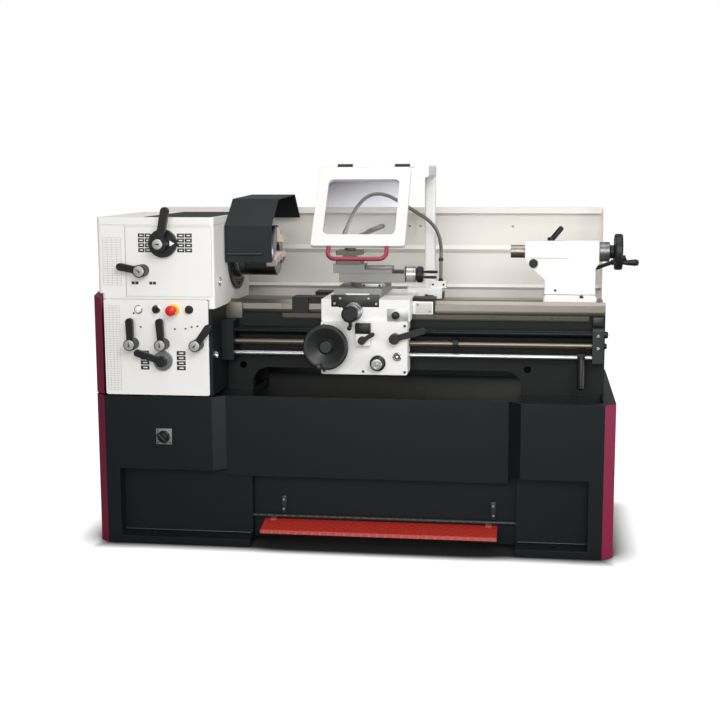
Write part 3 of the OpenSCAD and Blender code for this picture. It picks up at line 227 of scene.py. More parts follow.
# End claddings: burgundy paint below 584 mm; above it their tops are painted near black as painted shade.
cladding_coat = parted(
    "burgundy_sides_with_painted_shade_tops", "Z", 0.29, 0.2936, ("#80153C", 0.4, 0), ("#0C0F11", 0.45, 0)
)
cross_wheel = parted("black_crank_with_steel_dial", "Y", -0.29, 0.0565, STEEL, BLACK_COAT)
dial_face = parted("steel_dial_with_black_lever", "Y", -0.3865, 0.0072, ("#8A8C8E", 0.36, 0.9), BLACK_COAT)


# A wave texture of scale 1 repeats every 0.314 m.
WAVE_M = 0.314


# Chequered tread plate, painted red: diagonal raised marks about 24 mm apart, a little paler on their crests.
def tread_plate():
    material, tree, shader, place = finish("red_chequer_plate", IOR=1.5)
    split = add(tree, "ShaderNodeSeparateXYZ", {"Vector": (place, "Object")})
    wide = add(tree, "ShaderNodeMath", {0: (split, "X"), 1: 0.111, 2: 0.4512}, operation="COMPARE")
    low = add(tree, "ShaderNodeMath", {0: (split, "Z"), 1: 0.0975}, operation="LESS_THAN")
    plate = add(tree, "ShaderNodeMath", {0: (wide, "Value"), 1: (low, "Value")}, operation="MULTIPLY")
    one = add(tree, "ShaderNodeMapping", {"Vector": (place, "Object"), "Rotation": (0, 0, math.radians(40))})
    two = add(tree, "ShaderNodeMapping", {"Vector": (place, "Object"), "Rotation": (0, 0, math.radians(-40))})
    mark_mm = 24
    wave_scale = WAVE_M * 1000 / mark_mm
    ridge = add(tree, "ShaderNodeTexWave", {"Vector": (one, "Vector"), "Scale": wave_scale})
    cross = add(tree, "ShaderNodeTexWave", {"Vector": (two, "Vector"), "Scale": wave_scale})
    marks = add(tree, "ShaderNodeMath", {0: (ridge, "Fac"), 1: (cross, "Fac")}, operation="MULTIPLY")
    worn = add(tree, "ShaderNodeMixRGB", {
        "Fac": (marks, "Value"), "Color1": colour("#A4261A"), "Color2": colour("#B22D1D")
    })
    base = add(tree, "ShaderNodeMixRGB", {
        "Fac": (plate, "Value"), "Color1": colour("#202224"), "Color2": (worn, "Color")
    })
    rough = add(tree, "ShaderNodeMapRange", {"Value": (marks, "Value"), "To Min": 0.5, "To Max": 0.38})
    bump = add(tree, "ShaderNodeBump", {"Height": (marks, "Value"), "Strength": 0.5, "Distance": 0.002})
    tree.links.new(base.outputs["Color"], shader.inputs["Base Color"])
    tree.links.new(rough.outputs["Result"], shader.inputs["Roughness"])
    tree.links.new(bump.outputs["Normal"], shader.inputs["Normal"])
    return material


# Lead screw: oiled black steel with a trapezoidal thread of 6 mm pitch, drawn 12 mm apart so that it shows.
def screw_thread():
    material, tree, shader, place = finish("oiled_lead_screw", Roughness=0.35, Metallic=0.8)
    pitch_mm = 12
    wave = add(tree, "ShaderNodeTexWave", {"Vector": (place, "Object"), "Scale": WAVE_M * 1000 / pitch_mm})
    base = add(tree, "ShaderNodeMixRGB", {
        "Fac": (wave, "Fac"), "Color1": colour("#0D0E0F"), "Color2": colour("#1A1C1E")
    })
    bump = add(tree, "ShaderNodeBump", {"Height": (wave, "Fac"), "Strength": 0.2, "Distance": 0.002})
    tree.links.new(base.outputs["Color"], shader.inputs["Base Color"])
    tree.links.new(bump.outputs["Normal"], shader.inputs["Normal"])
    return material


# Ribbed rubber mat: long ribs 8 mm apart.
def ribbed_rubber():
    material, tree, shader, place = finish("ribbed_rubber_mat", Roughness=0.7)
    rib_mm = 8
    wave = add(tree, "ShaderNodeTexWave", {
        "Vector": (place, "Object"), "Scale": WAVE_M * 1000 / rib_mm
    }, bands_direction="Y")
    base = add(tree, "ShaderNodeMixRGB", {
        "Fac": (wave, "Fac"), "Color1": colour("#1B1C1D"), "Color2": colour("#2D2F31")
    })
    bump = add(tree, "ShaderNodeBump", {"Height": (wave, "Fac"), "Strength": 0.6, "Distance": 0.002})
    tree.links.new(base.outputs["Color"], shader.inputs["Base Color"])
    tree.links.new(bump.outputs["Normal"], shader.inputs["Normal"])
    return material


# Smoke-tinted polycarbonate: a smooth extruded sheet with faint waviness; its colour is painted dark at the
# upper left, fading pale to the lower right, as a painted reflection.
def clear_sheet():
    material, tree, shader, place = finish(
        "clear_polycarbonate", Roughness=0.04, IOR=1.2, Transmission_Weight=0.97
    )
    split = add(tree, "ShaderNodeSeparateXYZ", {"Vector": (place, "Object")})
    # Painted reflection: the colour runs from dark grey at the upper left to pale at the lower right.
    across = add(tree, "ShaderNodeMapRange", {"Value": (split, "X"), "From Min": -0.1, "From Max": 0.19})
    down = add(tree, "ShaderNodeMapRange", {"Value": (split, "Z"), "From Min": 1.4, "From Max": 1.2})
    side = add(tree, "ShaderNodeMath", {0: (across, "Result"), 1: 0.5}, operation="MULTIPLY")
    painted_reflection_fade = add(tree, "ShaderNodeMath", {
        0: (down, "Result"), 1: 0.95, 2: (side, "Value")
    }, operation="MULTIPLY_ADD", use_clamp=True)
    tint = add(tree, "ShaderNodeMixRGB", {
        "Fac": (painted_reflection_fade, "Value"), "Color1": colour("#5A555D"), "Color2": colour("#F5F6FA")
    })
    wave = add(tree, "ShaderNodeTexNoise", {"Vector": (place, "Object"), "Scale": 12, "Detail": 1})
    bump = add(tree, "ShaderNodeBump", {"Height": (wave, "Fac"), "Strength": 0.03, "Distance": 0.002})
    tree.links.new(tint.outputs["Color"], shader.inputs["Base Color"])
    tree.links.new(bump.outputs["Normal"], shader.inputs["Normal"])
    return material


def dress(material, names):
    """Puts a finish on CAD nodes."""
    for name in names.split():
        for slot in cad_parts[name].material_slots:
            slot.material = material


dress(graphite, "left_cabinet right_cabinet chip_tray gearbox")
dress(guard_grey, "chuck_guard")
dress(burgundy, "end_cover")
dress(cladding_coat, "end_claddings")
dress(splash_white, "splash_guard")
dress(white, "headstock gearbox_panel apron shield_post tailstock_base")
dress(shield_white, "shield_frame")
dress(black_coat, "bearing_cover tail_bracket carriage_handwheel")
dress(bed_iron, "bed")
dress(saddle_iron, "saddle")
dress(tail_coat, "tailstock")
dress(magenta, "shield_handle")
dress(clear_sheet(), "shield_window")
dress(tread_plate(), "treadle")
dress(ribbed_rubber(), "top_mat")
dress(screw_thread(), "lead_screw")
dress(feed_bar, "feed_rod")
dress(control_bar, "control_rod")
dress(oiled_steel, "rack")
dress(turned_steel, "spindle")
dress(quill_steel, "quill")
dress(chuck_steel, "chuck")
dress(jaw_steel, "jaw_1 jaw_2 jaw_3")
dress(ground_steel, "tool_post_lever")
dress(tool_steel, "tool_post")
dress(slide_iron, "compound_base top_slide cross_slide")
dress(cross_wheel, "cross_handwheel")
dress(top_wheel, "top_slide_handwheel")
dress(tail_wheel, "tailstock_handwheel")
dress(dial_face, "feed_dial")
dress(gooseneck, "coolant_pipe")
dress(red_plastic, "emergency_stop")
dress(black_plastic, "main_switch speed_lever range_lever feed_lever_a feed_lever_b feed_lever_c")
dress(black_plastic, "start_button mode_selector half_nut_lever saddle_knob coolant_tap quill_lever")
dress(black_plastic, "tailstock_clamp apron_lever apron_knob")


def start():
    """Nothing selected, so that an operator acts on the new piece alone."""
    bpy.ops.object.select_all(action="DESELECT")


def settle(name, body, material, smooth=35):
    """Names the active piece, puts its place into its mesh, and lets it ride on a body."""
    piece = bpy.context.object
    piece.name = name
    bpy.ops.object.transform_apply(location=True, rotation=True, scale=True)
    bpy.ops.object.shade_smooth_by_angle(angle=math.radians(smooth))
    piece.data.materials.clear()
    piece.data.materials.append(material)
    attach(piece, body)
    return piece


def turned(name, body, material, at, axis, profile, sides=40):
    """A turned piece: a disc drawn out ring by ring along an axis; profile is (radius, distance out)."""
    start()
    middle = Vector(at) * MM
    turn = UP.rotation_difference(axis).to_euler()
    radius, out = profile[0]
    bpy.ops.mesh.primitive_circle_add(
        vertices=sides, radius=radius * MM, fill_type="NGON", location=middle + axis * out * MM, rotation=turn
    )
    bpy.ops.object.mode_set(mode="EDIT")
    bpy.ops.mesh.select_all(action="SELECT")
    for next_radius, next_out in profile[1:]:
        step = axis * (next_out - out) * MM
        bpy.ops.mesh.extrude_region_move(TRANSFORM_OT_translate={"value": step})
        grow = next_radius / radius
        bpy.ops.transform.resize(value=(grow, grow, grow), center_override=middle + axis * next_out * MM)
        radius, out = next_radius, next_out
    bpy.ops.mesh.select_all(action="SELECT")
    bpy.ops.mesh.normals_make_consistent(inside=False)
    bpy.ops.object.mode_set(mode="OBJECT")
    return settle(name, body, material)


def block(name, body, material, low, high, edge, turn=0):
    """A block between two corners with rounded edges, turned about its middle by degrees along y."""
    start()
    low, high = Vector(low) * MM, Vector(high) * MM
    bpy.ops.mesh.primitive_cube_add(size=1, location=(low + high) / 2)
    bpy.context.object.scale = high - low
    bpy.ops.object.transform_apply(location=False, rotation=False, scale=True)
    bpy.ops.object.mode_set(mode="EDIT")
    bpy.ops.mesh.select_all(action="SELECT")
    bpy.ops.mesh.bevel(offset=edge * MM, segments=2, affect="EDGES")
    bpy.ops.object.mode_set(mode="OBJECT")
    bpy.context.object.rotation_euler.y = math.radians(turn)
    return settle(name, body, material)


def outline(name, body, material, low, high, width):
    """A thin printed line round a rectangle on a face towards the operator; corners are (x, y, z)."""
    start()
    low, high = Vector(low) * MM, Vector(high) * MM
    bpy.ops.mesh.primitive_plane_add(size=1, location=(low + high) / 2, rotation=(math.pi / 2, 0, 0))
    bpy.context.object.scale = (high.x - low.x, high.z - low.z, 1)
    bpy.ops.object.transform_apply(location=False, rotation=False, scale=True)
    bpy.ops.object.mode_set(mode="EDIT")
    bpy.ops.mesh.select_all(action="SELECT")
    bpy.ops.mesh.inset(thickness=width * MM, depth=0)
    bpy.ops.mesh.delete(type="FACE")
    bpy.ops.mesh.select_all(action="SELECT")
    bpy.ops.mesh.extrude_region_move(TRANSFORM_OT_translate={"value": (0, -0.0004, 0)})
    bpy.ops.mesh.select_all(action="SELECT")
    bpy.ops.mesh.normals_make_consistent(inside=False)
    bpy.ops.object.mode_set(mode="OBJECT")
    return settle(name, body, material)


def repeat(piece, moves):
    """Copies of a piece at other places, each with its own mesh, joined to the first."""
    start()
    for move in moves:
        other = piece.copy()
        other.data = piece.data.copy()
        other.data.transform(Matrix.Translation(Vector(move) * MM))
        scene.collection.objects.link(other)
        other.select_set(True)
    piece.select_set(True)
    bpy.context.view_layer.objects.active = piece
    bpy.ops.object.join()
    return piece


def screws(name, body, material, axis, r, out, places):
    """Socket head screws at some places on a face."""
    first = Vector(places[0])
    head = [(r, -0.5), (r, out - 0.8), (r - 0.8, out), (r * 0.55, out), (r * 0.5, out - 2.2)]
    piece = turned(name, body, material, first, axis, head, 20)
    return repeat(piece, [Vector(p) - first for p in places[1:]])


def chart(name, x, z, wide, tall, columns, rows, y):
    """A printed chart: dark cells in columns and rows, each with a pale field."""
    cell_w = wide / columns
    cell_h = tall / rows
    low = (x + 1.2, y - 0.5, z - cell_h + 1.6)
    high = (x + cell_w - 1.2, y + 0.3, z - 1.6)
    moves = [(i * cell_w, 0, -j * cell_h) for i in range(columns) for j in range(rows)][1:]
    repeat(block(name, "frame", ink, low, high, 0.2), moves)
    low = (x + cell_w * 0.28, y - 0.8, z - cell_h * 0.62)
    high = (x + cell_w * 0.74, y + 0.3, z - cell_h * 0.38)
    repeat(block(name + "_fields", "frame", white_ink, low, high, 0.2), moves)


def ruled_column(name, x, wide, z_low, z_high, pitch, y):
    """Faint ruled lines of a printed setting table."""
    count = int((z_high - z_low) / pitch)
    line = block(name, "frame", grey_ink, (x, y - 0.4, z_low), (x + wide, y + 0.3, z_low + 1.2), 0.2)
    repeat(line, [(0, 0, pitch * i) for i in range(1, count + 1)])
    upright = block(
        name + "_uprights", "frame", grey_ink,
        (x, y - 0.4, z_low), (x + 1.2, y + 0.3, z_low + count * pitch), 0.2
    )
    repeat(upright, [(wide * i / 4, 0, 0) for i in range(1, 5)])


def cap(name, body, at, r, lean):
    """A nickel cap on a lever's boss with a dark pointer along its arm."""
    dome = [(r, -2), (r, 1.5), (r - 1.5, 3), (r - 5, 3.2), (r * 0.3, 3.6)]
    turned(name + "_cap", body, nickel_cap, at, FRONT, dome)
    rim = [(r + 2.4, -2), (r + 2.4, 0.6), (r + 1.4, 1.4), (r, 1.4)]
    turned(name + "_rim", body, black_plastic, at, FRONT, rim)
    x, y, z = at
    start()
    bpy.ops.mesh.primitive_cone_add(
        vertices=3, radius1=r * 0.42 * MM, radius2=r * 0.36 * MM, depth=1.4 * MM,
        location=Vector((x, y - 3.6, z)) * MM, rotation=(math.pi / 2, 0, 0)
    )
    bpy.context.object.scale = (0.62, 1.9, 1)
    bpy.ops.object.transform_apply(location=False, rotation=True, scale=True)
    bpy.context.object.rotation_euler = (0, math.radians(lean), 0)
    bpy.ops.object.mode_set(mode="EDIT")
    bpy.ops.mesh.select_all(action="SELECT")
    bpy.ops.mesh.bevel(offset=0.2 * MM, segments=1, affect="EDGES")
    bpy.ops.object.mode_set(mode="OBJECT")
    settle(name + "_pointer", body, ink)


def ticks(name, body, at, axis, r, out, length, count):
    """Dark graduation marks round a dial, as thin blocks on its rim."""
    start()
    pieces = []
    for i in range(count):
        angle = 2 * math.pi * i / count
        long = length if i % 5 == 0 else length * 0.6
        bpy.ops.mesh.primitive_cube_add(size=1)
        mark = bpy.context.object
        mark.scale = (0.9 * MM, 0.5 * MM, long * MM)
        mark.location = (0, r * MM, (out + long / 2) * MM)
        bpy.ops.object.transform_apply(location=True, rotation=True, scale=True)
        turn = UP.rotation_difference(axis).to_matrix().to_4x4()
        mark.data.transform(Matrix.Translation(Vector(at) * MM) @ turn @ Matrix.Rotation(angle, 4, "Z"))
        pieces.append(mark)
    start()
    for mark in pieces:
        mark.select_set(True)
    bpy.context.view_layer.objects.active = pieces[0]
    bpy.ops.object.join()
    return settle(name, body, ink)


def bar(name, body, material, low, high, r):
    """A round bar with rounded ends between two points."""
    low, high = Vector(low), Vector(high)
    long = (high - low).length
    one_end = [(r * 0.5, 0), (r * 0.87, r * 0.3), (r, r * 0.8)]
    other_end = [(radius, long - out) for radius, out in reversed(one_end)]
    return turned(name, body, material, low, (high - low).normalized(), one_end + other_end, 24)


def tube(name, body, material, points, r):
    """A smooth round tube through some points."""
    start()
    bpy.ops.curve.primitive_bezier_curve_add()
    curve = bpy.context.object.data
    curve.bevel_depth = r * MM
    curve.bevel_resolution = 5
    curve.use_fill_caps = True
    line = curve.splines[0]
    line.resolution_u = 8
    line.bezier_points.add(len(points) - 2)
    for knot, point in zip(line.bezier_points, points):
        knot.co = Vector(point) * MM
        knot.handle_left_type = "AUTO"
        knot.handle_right_type = "AUTO"
    bpy.ops.object.convert(target="MESH")
    bpy.ops.object.mode_set(mode="EDIT")
    bpy.ops.mesh.select_all(action="SELECT")
    bpy.ops.mesh.remove_doubles(threshold=0.00001)
    bpy.ops.mesh.normals_make_consistent(inside=False)
    bpy.ops.object.mode_set(mode="OBJECT")
    return settle(name, body, material, 60)


# Headstock front and gearbox panel: the plate's outline, the charts, and marks for the range lever
HEAD_Y = -365
PANEL_Y = -379
outline("front_plate_line", "frame", grey_ink, (-855, HEAD_Y - 0.1, 966), (-518, HEAD_Y - 0.1, 1231), 1.6)

chart("speed_chart_left", -804, 1207, 53, 74, 2, 4, HEAD_Y)
chart("speed_chart_right", -652, 1207, 60, 74, 2, 4, HEAD_Y)
chart("feed_chart_left", -802, 762, 36, 77, 1, 4, PANEL_Y)
chart("feed_chart_right", -660, 762, 37, 77, 1, 4, PANEL_Y)
repeat(
    block("range_marks", "frame", ink, (-832, HEAD_Y - 0.5, 1012), (-820, HEAD_Y + 0.3, 1023), 0.2),
    [(14, 0, 0), (69, 0, 0), (83, 0, 0)]
)

ruled_column("head_table", -944, 72, 1008, 1190, 9, HEAD_Y)
ruled_column("panel_table", -934, 54, 606, 930, 9, PANEL_Y)

cap("speed_lever", "speed_lever", (-703, -449, 1169), 19.5, -90)
cap("range_lever", "range_lever", (-786, -423, 1066), 20.5, -50)
cap("feed_lever_a", "feed_lever_a", (-827, -439, 788), 19.5, -2)
cap("feed_lever_b", "feed_lever_b", (-707, -439, 788), 19.5, -4)
cap("feed_lever_c", "feed_lever_c", (-573, -439, 788), 19.5, 36)

# White pointer on the speed disc
start()
bpy.ops.mesh.primitive_cone_add(
    vertices=3, radius1=13 * MM, radius2=12.6 * MM, depth=1 * MM, location=Vector((-667, -389.3, 1169)) * MM,
    rotation=(math.pi / 2, math.radians(90), 0)
)
bpy.ops.object.mode_set(mode="EDIT")
bpy.ops.mesh.select_all(action="SELECT")
bpy.ops.mesh.bevel(offset=0.2 * MM, segments=1, affect="EDGES")
bpy.ops.object.mode_set(mode="OBJECT")
settle("speed_disc_pointer", "speed_lever", white_ink)

# Row of buttons: pilot lamp, collars and the yellow ring of the emergency stop
for name, material, x, z, profile in (
    ("pilot_lamp_ring", chrome, -804, 918, [(16.5, -0.5), (16.5, 3), (15, 4.5), (12.5, 4.5)]),
    ("pilot_lamp", white_plastic, -804, 918, [(13, 1), (13, 7), (11, 10), (6, 11.6), (2, 12)]),
    ("stop_ring", yellow_plastic, -665, 919, [(21, -0.5), (21, 4), (19.5, 7), (15, 8)]),
    ("start_collar", black_plastic, -606, 919, [(16, -0.5), (16, 3.4), (14.6, 5), (13.6, 5)]),
    ("selector_collar", chrome, -735, 919, [(17, -0.5), (17, 0.4), (15.6, 0.8), (13.4, 0.8)]),
):
    turned(name, "frame", material, (x, PANEL_Y, z), FRONT, profile)
repeat(
    block("setting_marks", "frame", ink, (-801, PANEL_Y - 0.5, 848), (-794, PANEL_Y + 0.3, 854), 0.2),
    [(134, 0, -6), (176, 0, -5), (200, 0, 2), (222, 0, 5), (-26, 0, 52)]
)

# Sight glasses on the headstock, the gearbox and the apron
for name, body, at, axis in (
    ("head_sight_glass", "frame", (-511, -285, 1019), RIGHT),
    ("gearbox_sight_glass", "frame", (-520, -324, 740), RIGHT),
    ("apron_sight_glass", "carriage", (171, -250, 733), FRONT),
):
    turned(name + "_ring", body, chrome, at, axis, [(17, -0.5), (17, 4), (15, 6), (11, 6), (10.5, 3)])
    turned(name, body, blackened, at, axis, [(10.8, 0.5), (10.5, 3.2), (6, 3.4), (5.6, 3.4)], 32)
    turned(name + "_float", body, white_plastic, at, axis, [(5, 1), (5, 3.8), (3.6, 4.6), (1.6, 4.8)], 24)

# Painted shadow: a dark strip in the rack's oiled steel colour along the lower edge of the front way
block("way_edge_painted_shadow", "frame", oiled_steel, (-455, -130.25, 884.2), (955, -129, 899), 0.05)

# Bare cover plate beside the gearbox and the dark edge of the chuck guard's lip
block("bed_cover_plate", "frame", dull_plate, (-522, -142, 862), (-456, -130.3, 925), 1.5)
turned(
    "guard_lip_edge", "chuck_guard", blackened, (-499, -212, 1119.5), RIGHT,
    [(3.4, 0), (5, 2), (5, 140), (3.4, 142)], 20
)

# Carriage trim: plates, screws, the dial of the cross screw and the cover of the right wing
block("saddle_knob_plate", "carriage", grey_iron, (131, -236.2, 868), (213, -235, 915), 0.5)
block("half_nut_cap", "carriage", black_plastic, (13.5, -281.2, 822), (70.5, -249.5, 862.5), 3)
screws("apron_screws", "carriage", blackened, FRONT, 5, 3, [
    (-112, -250, 852), (200, -250, 852), (-112, -250, 674), (200, -250, 674), (40, -250, 674)
])
screws("screw_bracket_screws", "carriage", turned_steel, FRONT, 5, 3, [
    (-50, -235, 954), (59, -235, 954), (89, -235, 934), (-72, -235, 934)
])
block("right_wing_cover", "carriage", white, (218, -143.6, 885), (299, -130.6, 935), 2)
block("right_wing_plate", "carriage", grey_ink, (231, -144.4, 889), (295, -143, 930), 0.4)
screws("right_wing_screws", "carriage", blackened, FRONT, 3.4, 1.6, [(240, -144, 922), (286, -144, 897)])
turned("cross_dial", "cross_handwheel", turned_steel, (4, -235, 906), FRONT, [
    (33, 2), (34.5, 4), (34.5, 24), (33, 26), (30.5, 27),
    (30.5, 60), (28, 62), (28, 104), (25, 109), (18, 110)
], 48)

ticks("cross_dial_marks", "cross_handwheel", (4, -235, 906), FRONT, 34.4, 14, 9, 50)
ticks("top_dial_marks", "top_slide_handwheel", (181, -20, 1030), RIGHT, 31, 30, 9, 40)
ticks("tail_dial_marks", "tailstock_handwheel", (931, 0, 1122), RIGHT, 38, 28, 10, 50)

turned("apron_knob_face", "apron_knob", turned_steel, (97, -293, 708), FRONT, [
    (21.5, -1), (21.5, 1.2), (20, 2.6), (14, 3), (13, 2.2), (6, 2.2), (5, 3), (1.5, 3.2)
], 36)
block("screw_bracket_face", "carriage", black_coat, (-85.4, -235.6, 920.6), (100.4, -215.6, 965.4), 1.5)

# Tail of the top slide, the plate that carries its screw, and the clamp handle of the tool post
block("top_slide_tail", "top_slide", slide_iron, (24, -57.8, 1050.6), (129.6, 17.8, 1063.5), 1.5)
block("top_slide_end_plate", "compound", slide_iron, (176, -57.8, 1035.6), (181.4, 17.8, 1062), 1)
turned("tool_clamp_hub", "tool_post_lever", tool_steel, (-42, -20, 1125.4), UP, [
    (21, 0), (22, 1), (22, 18), (17, 22), (15, 34), (20, 38), (20, 52), (17, 56), (6, 57)
])

bar("tool_clamp_arm", "tool_post_lever", tool_steel, (-40, -20, 1170), (40, -20, 1200), 6.5)
clamp_grip = bar("tool_clamp_grip", "tool_post_lever", tool_steel, (24, -20, 1195), (96, -20, 1223), 10)
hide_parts("tool_post_lever")

# Clamp lug of the swivel with its two screws
block("swivel_lug", "compound", grey_iron, (16, -112, 985.4), (96, -90, 999.6), 2)
screws("swivel_screws", "compound", blackened, FRONT, 5, 2.5, [(25, -112, 992.5), (87, -112, 992.5)])

# Black hinge sleeves of the shield, and the gooseneck with its ferrule and nozzle
hinge_sleeve = [(9, -0.5), (10.2, 0.5), (10.2, 56.5), (9, 57.5)]
for name, x in (("shield_hinge_left", -61), ("shield_hinge_right", 157)):
    turned(name, "shield", black_plastic, (x, -198, 1452), RIGHT, hinge_sleeve, 32)

PIPE_FOOT = Vector((310.5, 98, 995))
PIPE_ROUTE = [
    (0, 0, 0), (0, 0, 44), (0, 0, 88), (0, -2, 136), (-12, -14, 193), (-41, -30, 237), (-84, -48, 270),
    (-121, -64, 294), (-169, -80, 324), (-208, -96, 344), (-249, -112, 350), (-284, -128, 338),
    (-314, -144, 308), (-338, -160, 267), (-357, -176, 221), (-366, -188, 192)
]
pipe_points = [PIPE_FOOT + Vector(p) for p in PIPE_ROUTE]
hose = tube("coolant_gooseneck", "carriage", gooseneck, pipe_points, 7)
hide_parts("coolant_pipe")
turned("gooseneck_ferrule", "carriage", blackened, PIPE_FOOT + Vector((0, 0, 80)), UP, [
    (8, 0), (9.6, 1), (9.6, 9), (8.4, 10), (8.4, 13), (7.2, 14)
], 24)
turned("gooseneck_foot", "carriage", blackened, PIPE_FOOT, UP, [(11, -0.5), (11, 5), (9, 7), (7.4, 12)], 6)
nozzle_way = (pipe_points[-1] - pipe_points[-2]).normalized()
turned("coolant_nozzle", "carriage", gooseneck, pipe_points[-1] - nozzle_way * 26, nozzle_way, [
    (7.4, 0), (9, 2), (9, 18), (7, 26), (5.6, 34), (4.6, 34), (4.4, 30)
], 24)
screws("manifold_screws", "carriage", blackened, FRONT, 4, 3, [(280, 80, 982), (323, 80, 982)])

# Treadle hinge brackets on the kick panel, each with two bolts
for name, x in (("treadle_hinge_left", -267), ("treadle_hinge_right", 545)):
    block(name, "frame", black_coat, (x - 11, -299, 116), (x + 11, -285.5, 188), 3)
    screws(name + "_bolts", "frame", turned_steel, FRONT, 5, 4, [(x, -299, 172), (x, -299, 134)])

# Main switch: a brushed plate with four screws, and its knob set aslant
block("switch_plate", "frame", switch_plate, (-747, -384, 397), (-685, -382, 459), 0.8)
screws("switch_plate_screws", "frame", blackened, FRONT, 3, 1.2, [
    (-740, -384, 404), (-692, -384, 404), (-740, -384, 452), (-692, -384, 452)
])
turned("switch_hub", "main_switch", black_plastic, (-716, -384.5, 428), FRONT, [
    (24, 0), (24, 5), (18, 9), (17, 20), (14, 23), (6, 23.4)
])
switch_grip = block("switch_grip", "main_switch", black_plastic, (-723, -421, 404), (-709, -400, 452), 4, -45)
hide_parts("main_switch")

# Folded edges of the lower cabinet panels as pale strips: the folds are real, their paleness is a painted
# highlight where the sheet's edge catches the light
for name, low_x, high_x in (("left_panel_edge_highlight", -893, -392), ("right_panel_edge_highlight", 637, 900)):
    block(name, "frame", edge_highlight_coat, (low_x, -336.6, 44.4), (high_x, -333, 46.4), 0.5)

# Tailstock: seam between body and base, its screws, a painted shade line along the edge of the cast shoulder,
# and the quill lock lever
block("tail_seam", "tailstock", ink, (724, -80.6, 959.6), (920, -79.4, 962), 0.2)
screws("tail_set_screw", "tailstock", blackened, FRONT, 5, 2.4, [(766, -58, 975)])
screws("tail_clamp_bolt", "tailstock", blackened, FRONT, 8, 5, [(866, -80, 951)])
# Painted shade: a grey line along the cast shoulder's edge.
block("tail_shoulder_shade_line", "tailstock", grey_ink, (668, -58.6, 1098.6), (815, -57.6, 1101.6), 0.2)
turned("quill_lever_hub", "quill_lever", black_plastic, (747, 0, 1165.4), UP, [
    (14, 0), (14, 8), (12, 12), (5, 13)
], 32)
quill_grip = bar("quill_lever_grip", "quill_lever", black_plastic, (749, 0, 1168), (790, 0, 1218), 10.5)
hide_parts("quill_lever")

# Tail bracket: screws, nuts of the rods' ends, the block above; rack screws; black grip of the control lever
ROD_Y = -185
screws("bracket_screws", "frame", turned_steel, FRONT, 6, 4, [(927, -217, 819), (927, -217, 772)])
turned("lead_screw_nut", "lead_screw", black_plastic, (947.5, ROD_Y, 820), RIGHT, [
    (12, 0), (13, 1), (13, 14), (11, 17), (4, 18)
], 32)
turned("feed_rod_nut", "feed_rod", black_plastic, (947.5, ROD_Y, 777), RIGHT, [
    (10, 0), (11, 1), (11, 10), (9, 13), (4, 14)
], 32)
block("bed_end_block", "frame", black_coat, (908, -150, 847), (950, -130.2, 882), 3)
screws("rack_screws", "frame", blackened, FRONT, 4.5, 1.5, [
    (530, -140, 875), (755, -140, 875), (305, -140, 875), (80, -140, 875)
])
bar("control_lever_grip", "control_rod", black_plastic, (866, -203, 735), (866, -224.5, 613), 14.5)

# Locating pin of the bearing cover, the joint in the splash guard and its bolts
bar("bearing_cover_pin", "frame", blackened, (-485, -130, 1010), (-455, -130, 1010), 6)
block("splash_joint", "frame", grey_ink, (172, 440, 925), (173.4, 442.4, 1255), 0.2)
screws("splash_bolts", "frame", blackened, FRONT, 5, 3, [
    (150, 442, 1010), (196, 442, 1010), (150, 442, 1200),
    (196, 442, 1200), (-240, 442, 1200), (590, 442, 1200)
])

# Camera at the photograph's place
lens_mm = 64.05
yaw, pitch, roll = math.radians(7.9), math.radians(8.5), math.radians(-0.19)
bpy.ops.object.camera_add(location=(0.696, -5.065, 1.445))
camera = bpy.context.object
aim = Matrix.Rotation(yaw, 3, "Z") @ Matrix.Rotation(math.pi / 2 - pitch, 3, "X")
camera.rotation_euler = (aim @ Matrix.Rotation(roll, 3, "Z")).to_euler()
camera.data.sensor_width = 36
camera.data.lens = lens_mm
scene.camera = camera

# Pale floor that the camera sees white, apart from the machine's shade under it and close beside it
start()
bpy.ops.mesh.primitive_plane_add(size=40, location=(0, 0, -0.0005))
floor = bpy.context.object
floor.name = "studio_floor"
floor_coat, tree, shader, place = finish("pale_studio_floor", Roughness=0.9)
path = add(tree, "ShaderNodeLightPath")
near = add(tree, "ShaderNodeAmbientOcclusion", {"Distance": 0.16}, samples=16)
edge = add(tree, "ShaderNodeMapRange", {"Value": (near, "AO"), "From Min": 0.5, "From Max": 0.96})
spot = add(tree, "ShaderNodeSeparateXYZ", {"Vector": (place, "Object")})
from_mid_x = add(tree, "ShaderNodeMath", {0: (spot, "X")}, operation="ABSOLUTE")
past_end = add(tree, "ShaderNodeMapRange", {
    "Value": (from_mid_x, "Value"), "From Min": 0.94, "From Max": 1.0
})
past_front = add(tree, "ShaderNodeMapRange", {"Value": (spot, "Y"), "From Min": -0.37, "From Max": -0.46})
past_back = add(tree, "ShaderNodeMapRange", {"Value": (spot, "Y"), "From Min": 0.46, "From Max": 0.55})
outside = add(tree, "ShaderNodeMath", {
    0: (past_end, "Result"), 1: (past_front, "Result")
}, operation="MAXIMUM")
outside = add(tree, "ShaderNodeMath", {0: (outside, "Value"), 1: (past_back, "Result")}, operation="MAXIMUM")
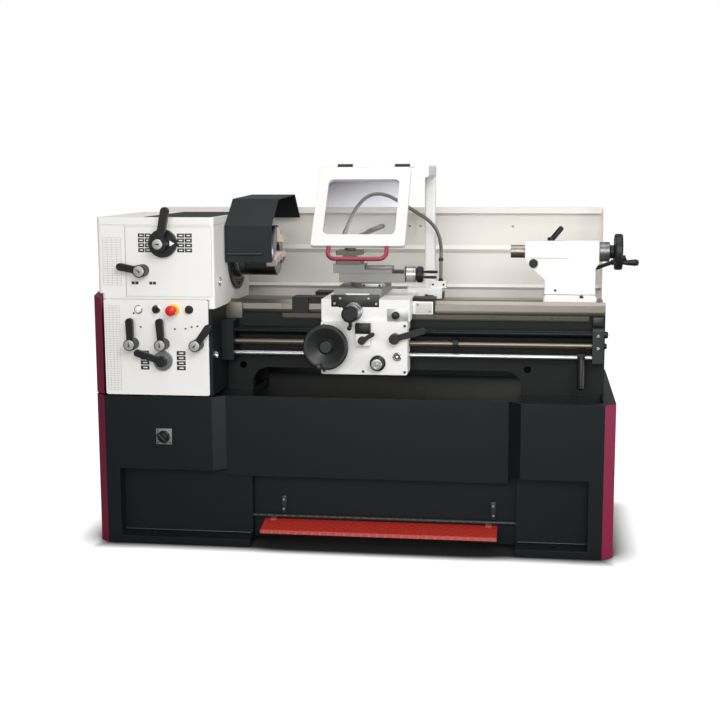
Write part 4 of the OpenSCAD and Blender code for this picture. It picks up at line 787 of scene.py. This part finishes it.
open_floor = add(tree, "ShaderNodeMath", {0: (edge, "Result"), 1: (outside, "Value")}, operation="MULTIPLY")
floor_shade = add(tree, "ShaderNodeMixRGB", {
    "Fac": (open_floor, "Value"), "Color1": colour("#101010"), "Color2": colour("#7A7A7A")
})
tree.links.new(floor_shade.outputs["Color"], shader.inputs["Base Color"])
share = add(tree, "ShaderNodeMath", {
    0: (open_floor, "Value"), 1: (path, "Is Camera Ray")
}, operation="MULTIPLY")
glow = add(tree, "ShaderNodeEmission", {"Color": (1, 1, 1, 1), "Strength": (share, "Value")})
lit = add(tree, "ShaderNodeAddShader", {0: (shader, "BSDF"), 1: (glow, "Emission")})
tree.links.new(lit.outputs["Shader"], tree.nodes["Material Output"].inputs["Surface"])
floor.data.materials.append(floor_coat)

world = bpy.data.worlds.new("white_surround")
scene.world = world
world.use_nodes = True
sky = world.node_tree
path = add(sky, "ShaderNodeLightPath")
seen = add(sky, "ShaderNodeMath", {
    0: (path, "Is Camera Ray"), 1: (path, "Is Transmission Ray")
}, operation="ADD", use_clamp=True)
level = add(sky, "ShaderNodeMapRange", {"Value": (seen, "Value"), "To Min": 0.3, "To Max": 1.0})
back = sky.nodes["Background"]
back.inputs["Color"].default_value = (1, 1, 1, 1)
sky.links.new(level.outputs["Result"], back.inputs["Strength"])


def lamp(name, place, aim, size, power):
    """A soft square lamp that looks at a point."""
    bpy.ops.object.light_add(type="AREA", location=place)
    light = bpy.context.object
    light.name = name
    light.data.size = size
    light.data.energy = power
    light.rotation_euler = (Vector(aim) - Vector(place)).to_track_quat("-Z", "Y").to_euler()


lamp("key_lamp", (2.0, -5.2, 3.5), (0.1, 0, 0.9), 2.2, 142)
lamp("fill_lamp", (-0.2, -5.6, 1.9), (-0.5, 0, 0.9), 2.4, 105)
lamp("side_lamp", (4.2, -1.4, 0.6), (-0.5, -0.3, 0.45), 1.6, 62)
lamp("top_lamp", (0.2, -0.4, 4.2), (0, 0, 0.8), 3.0, 70)

scene.view_settings.view_transform = "Standard"
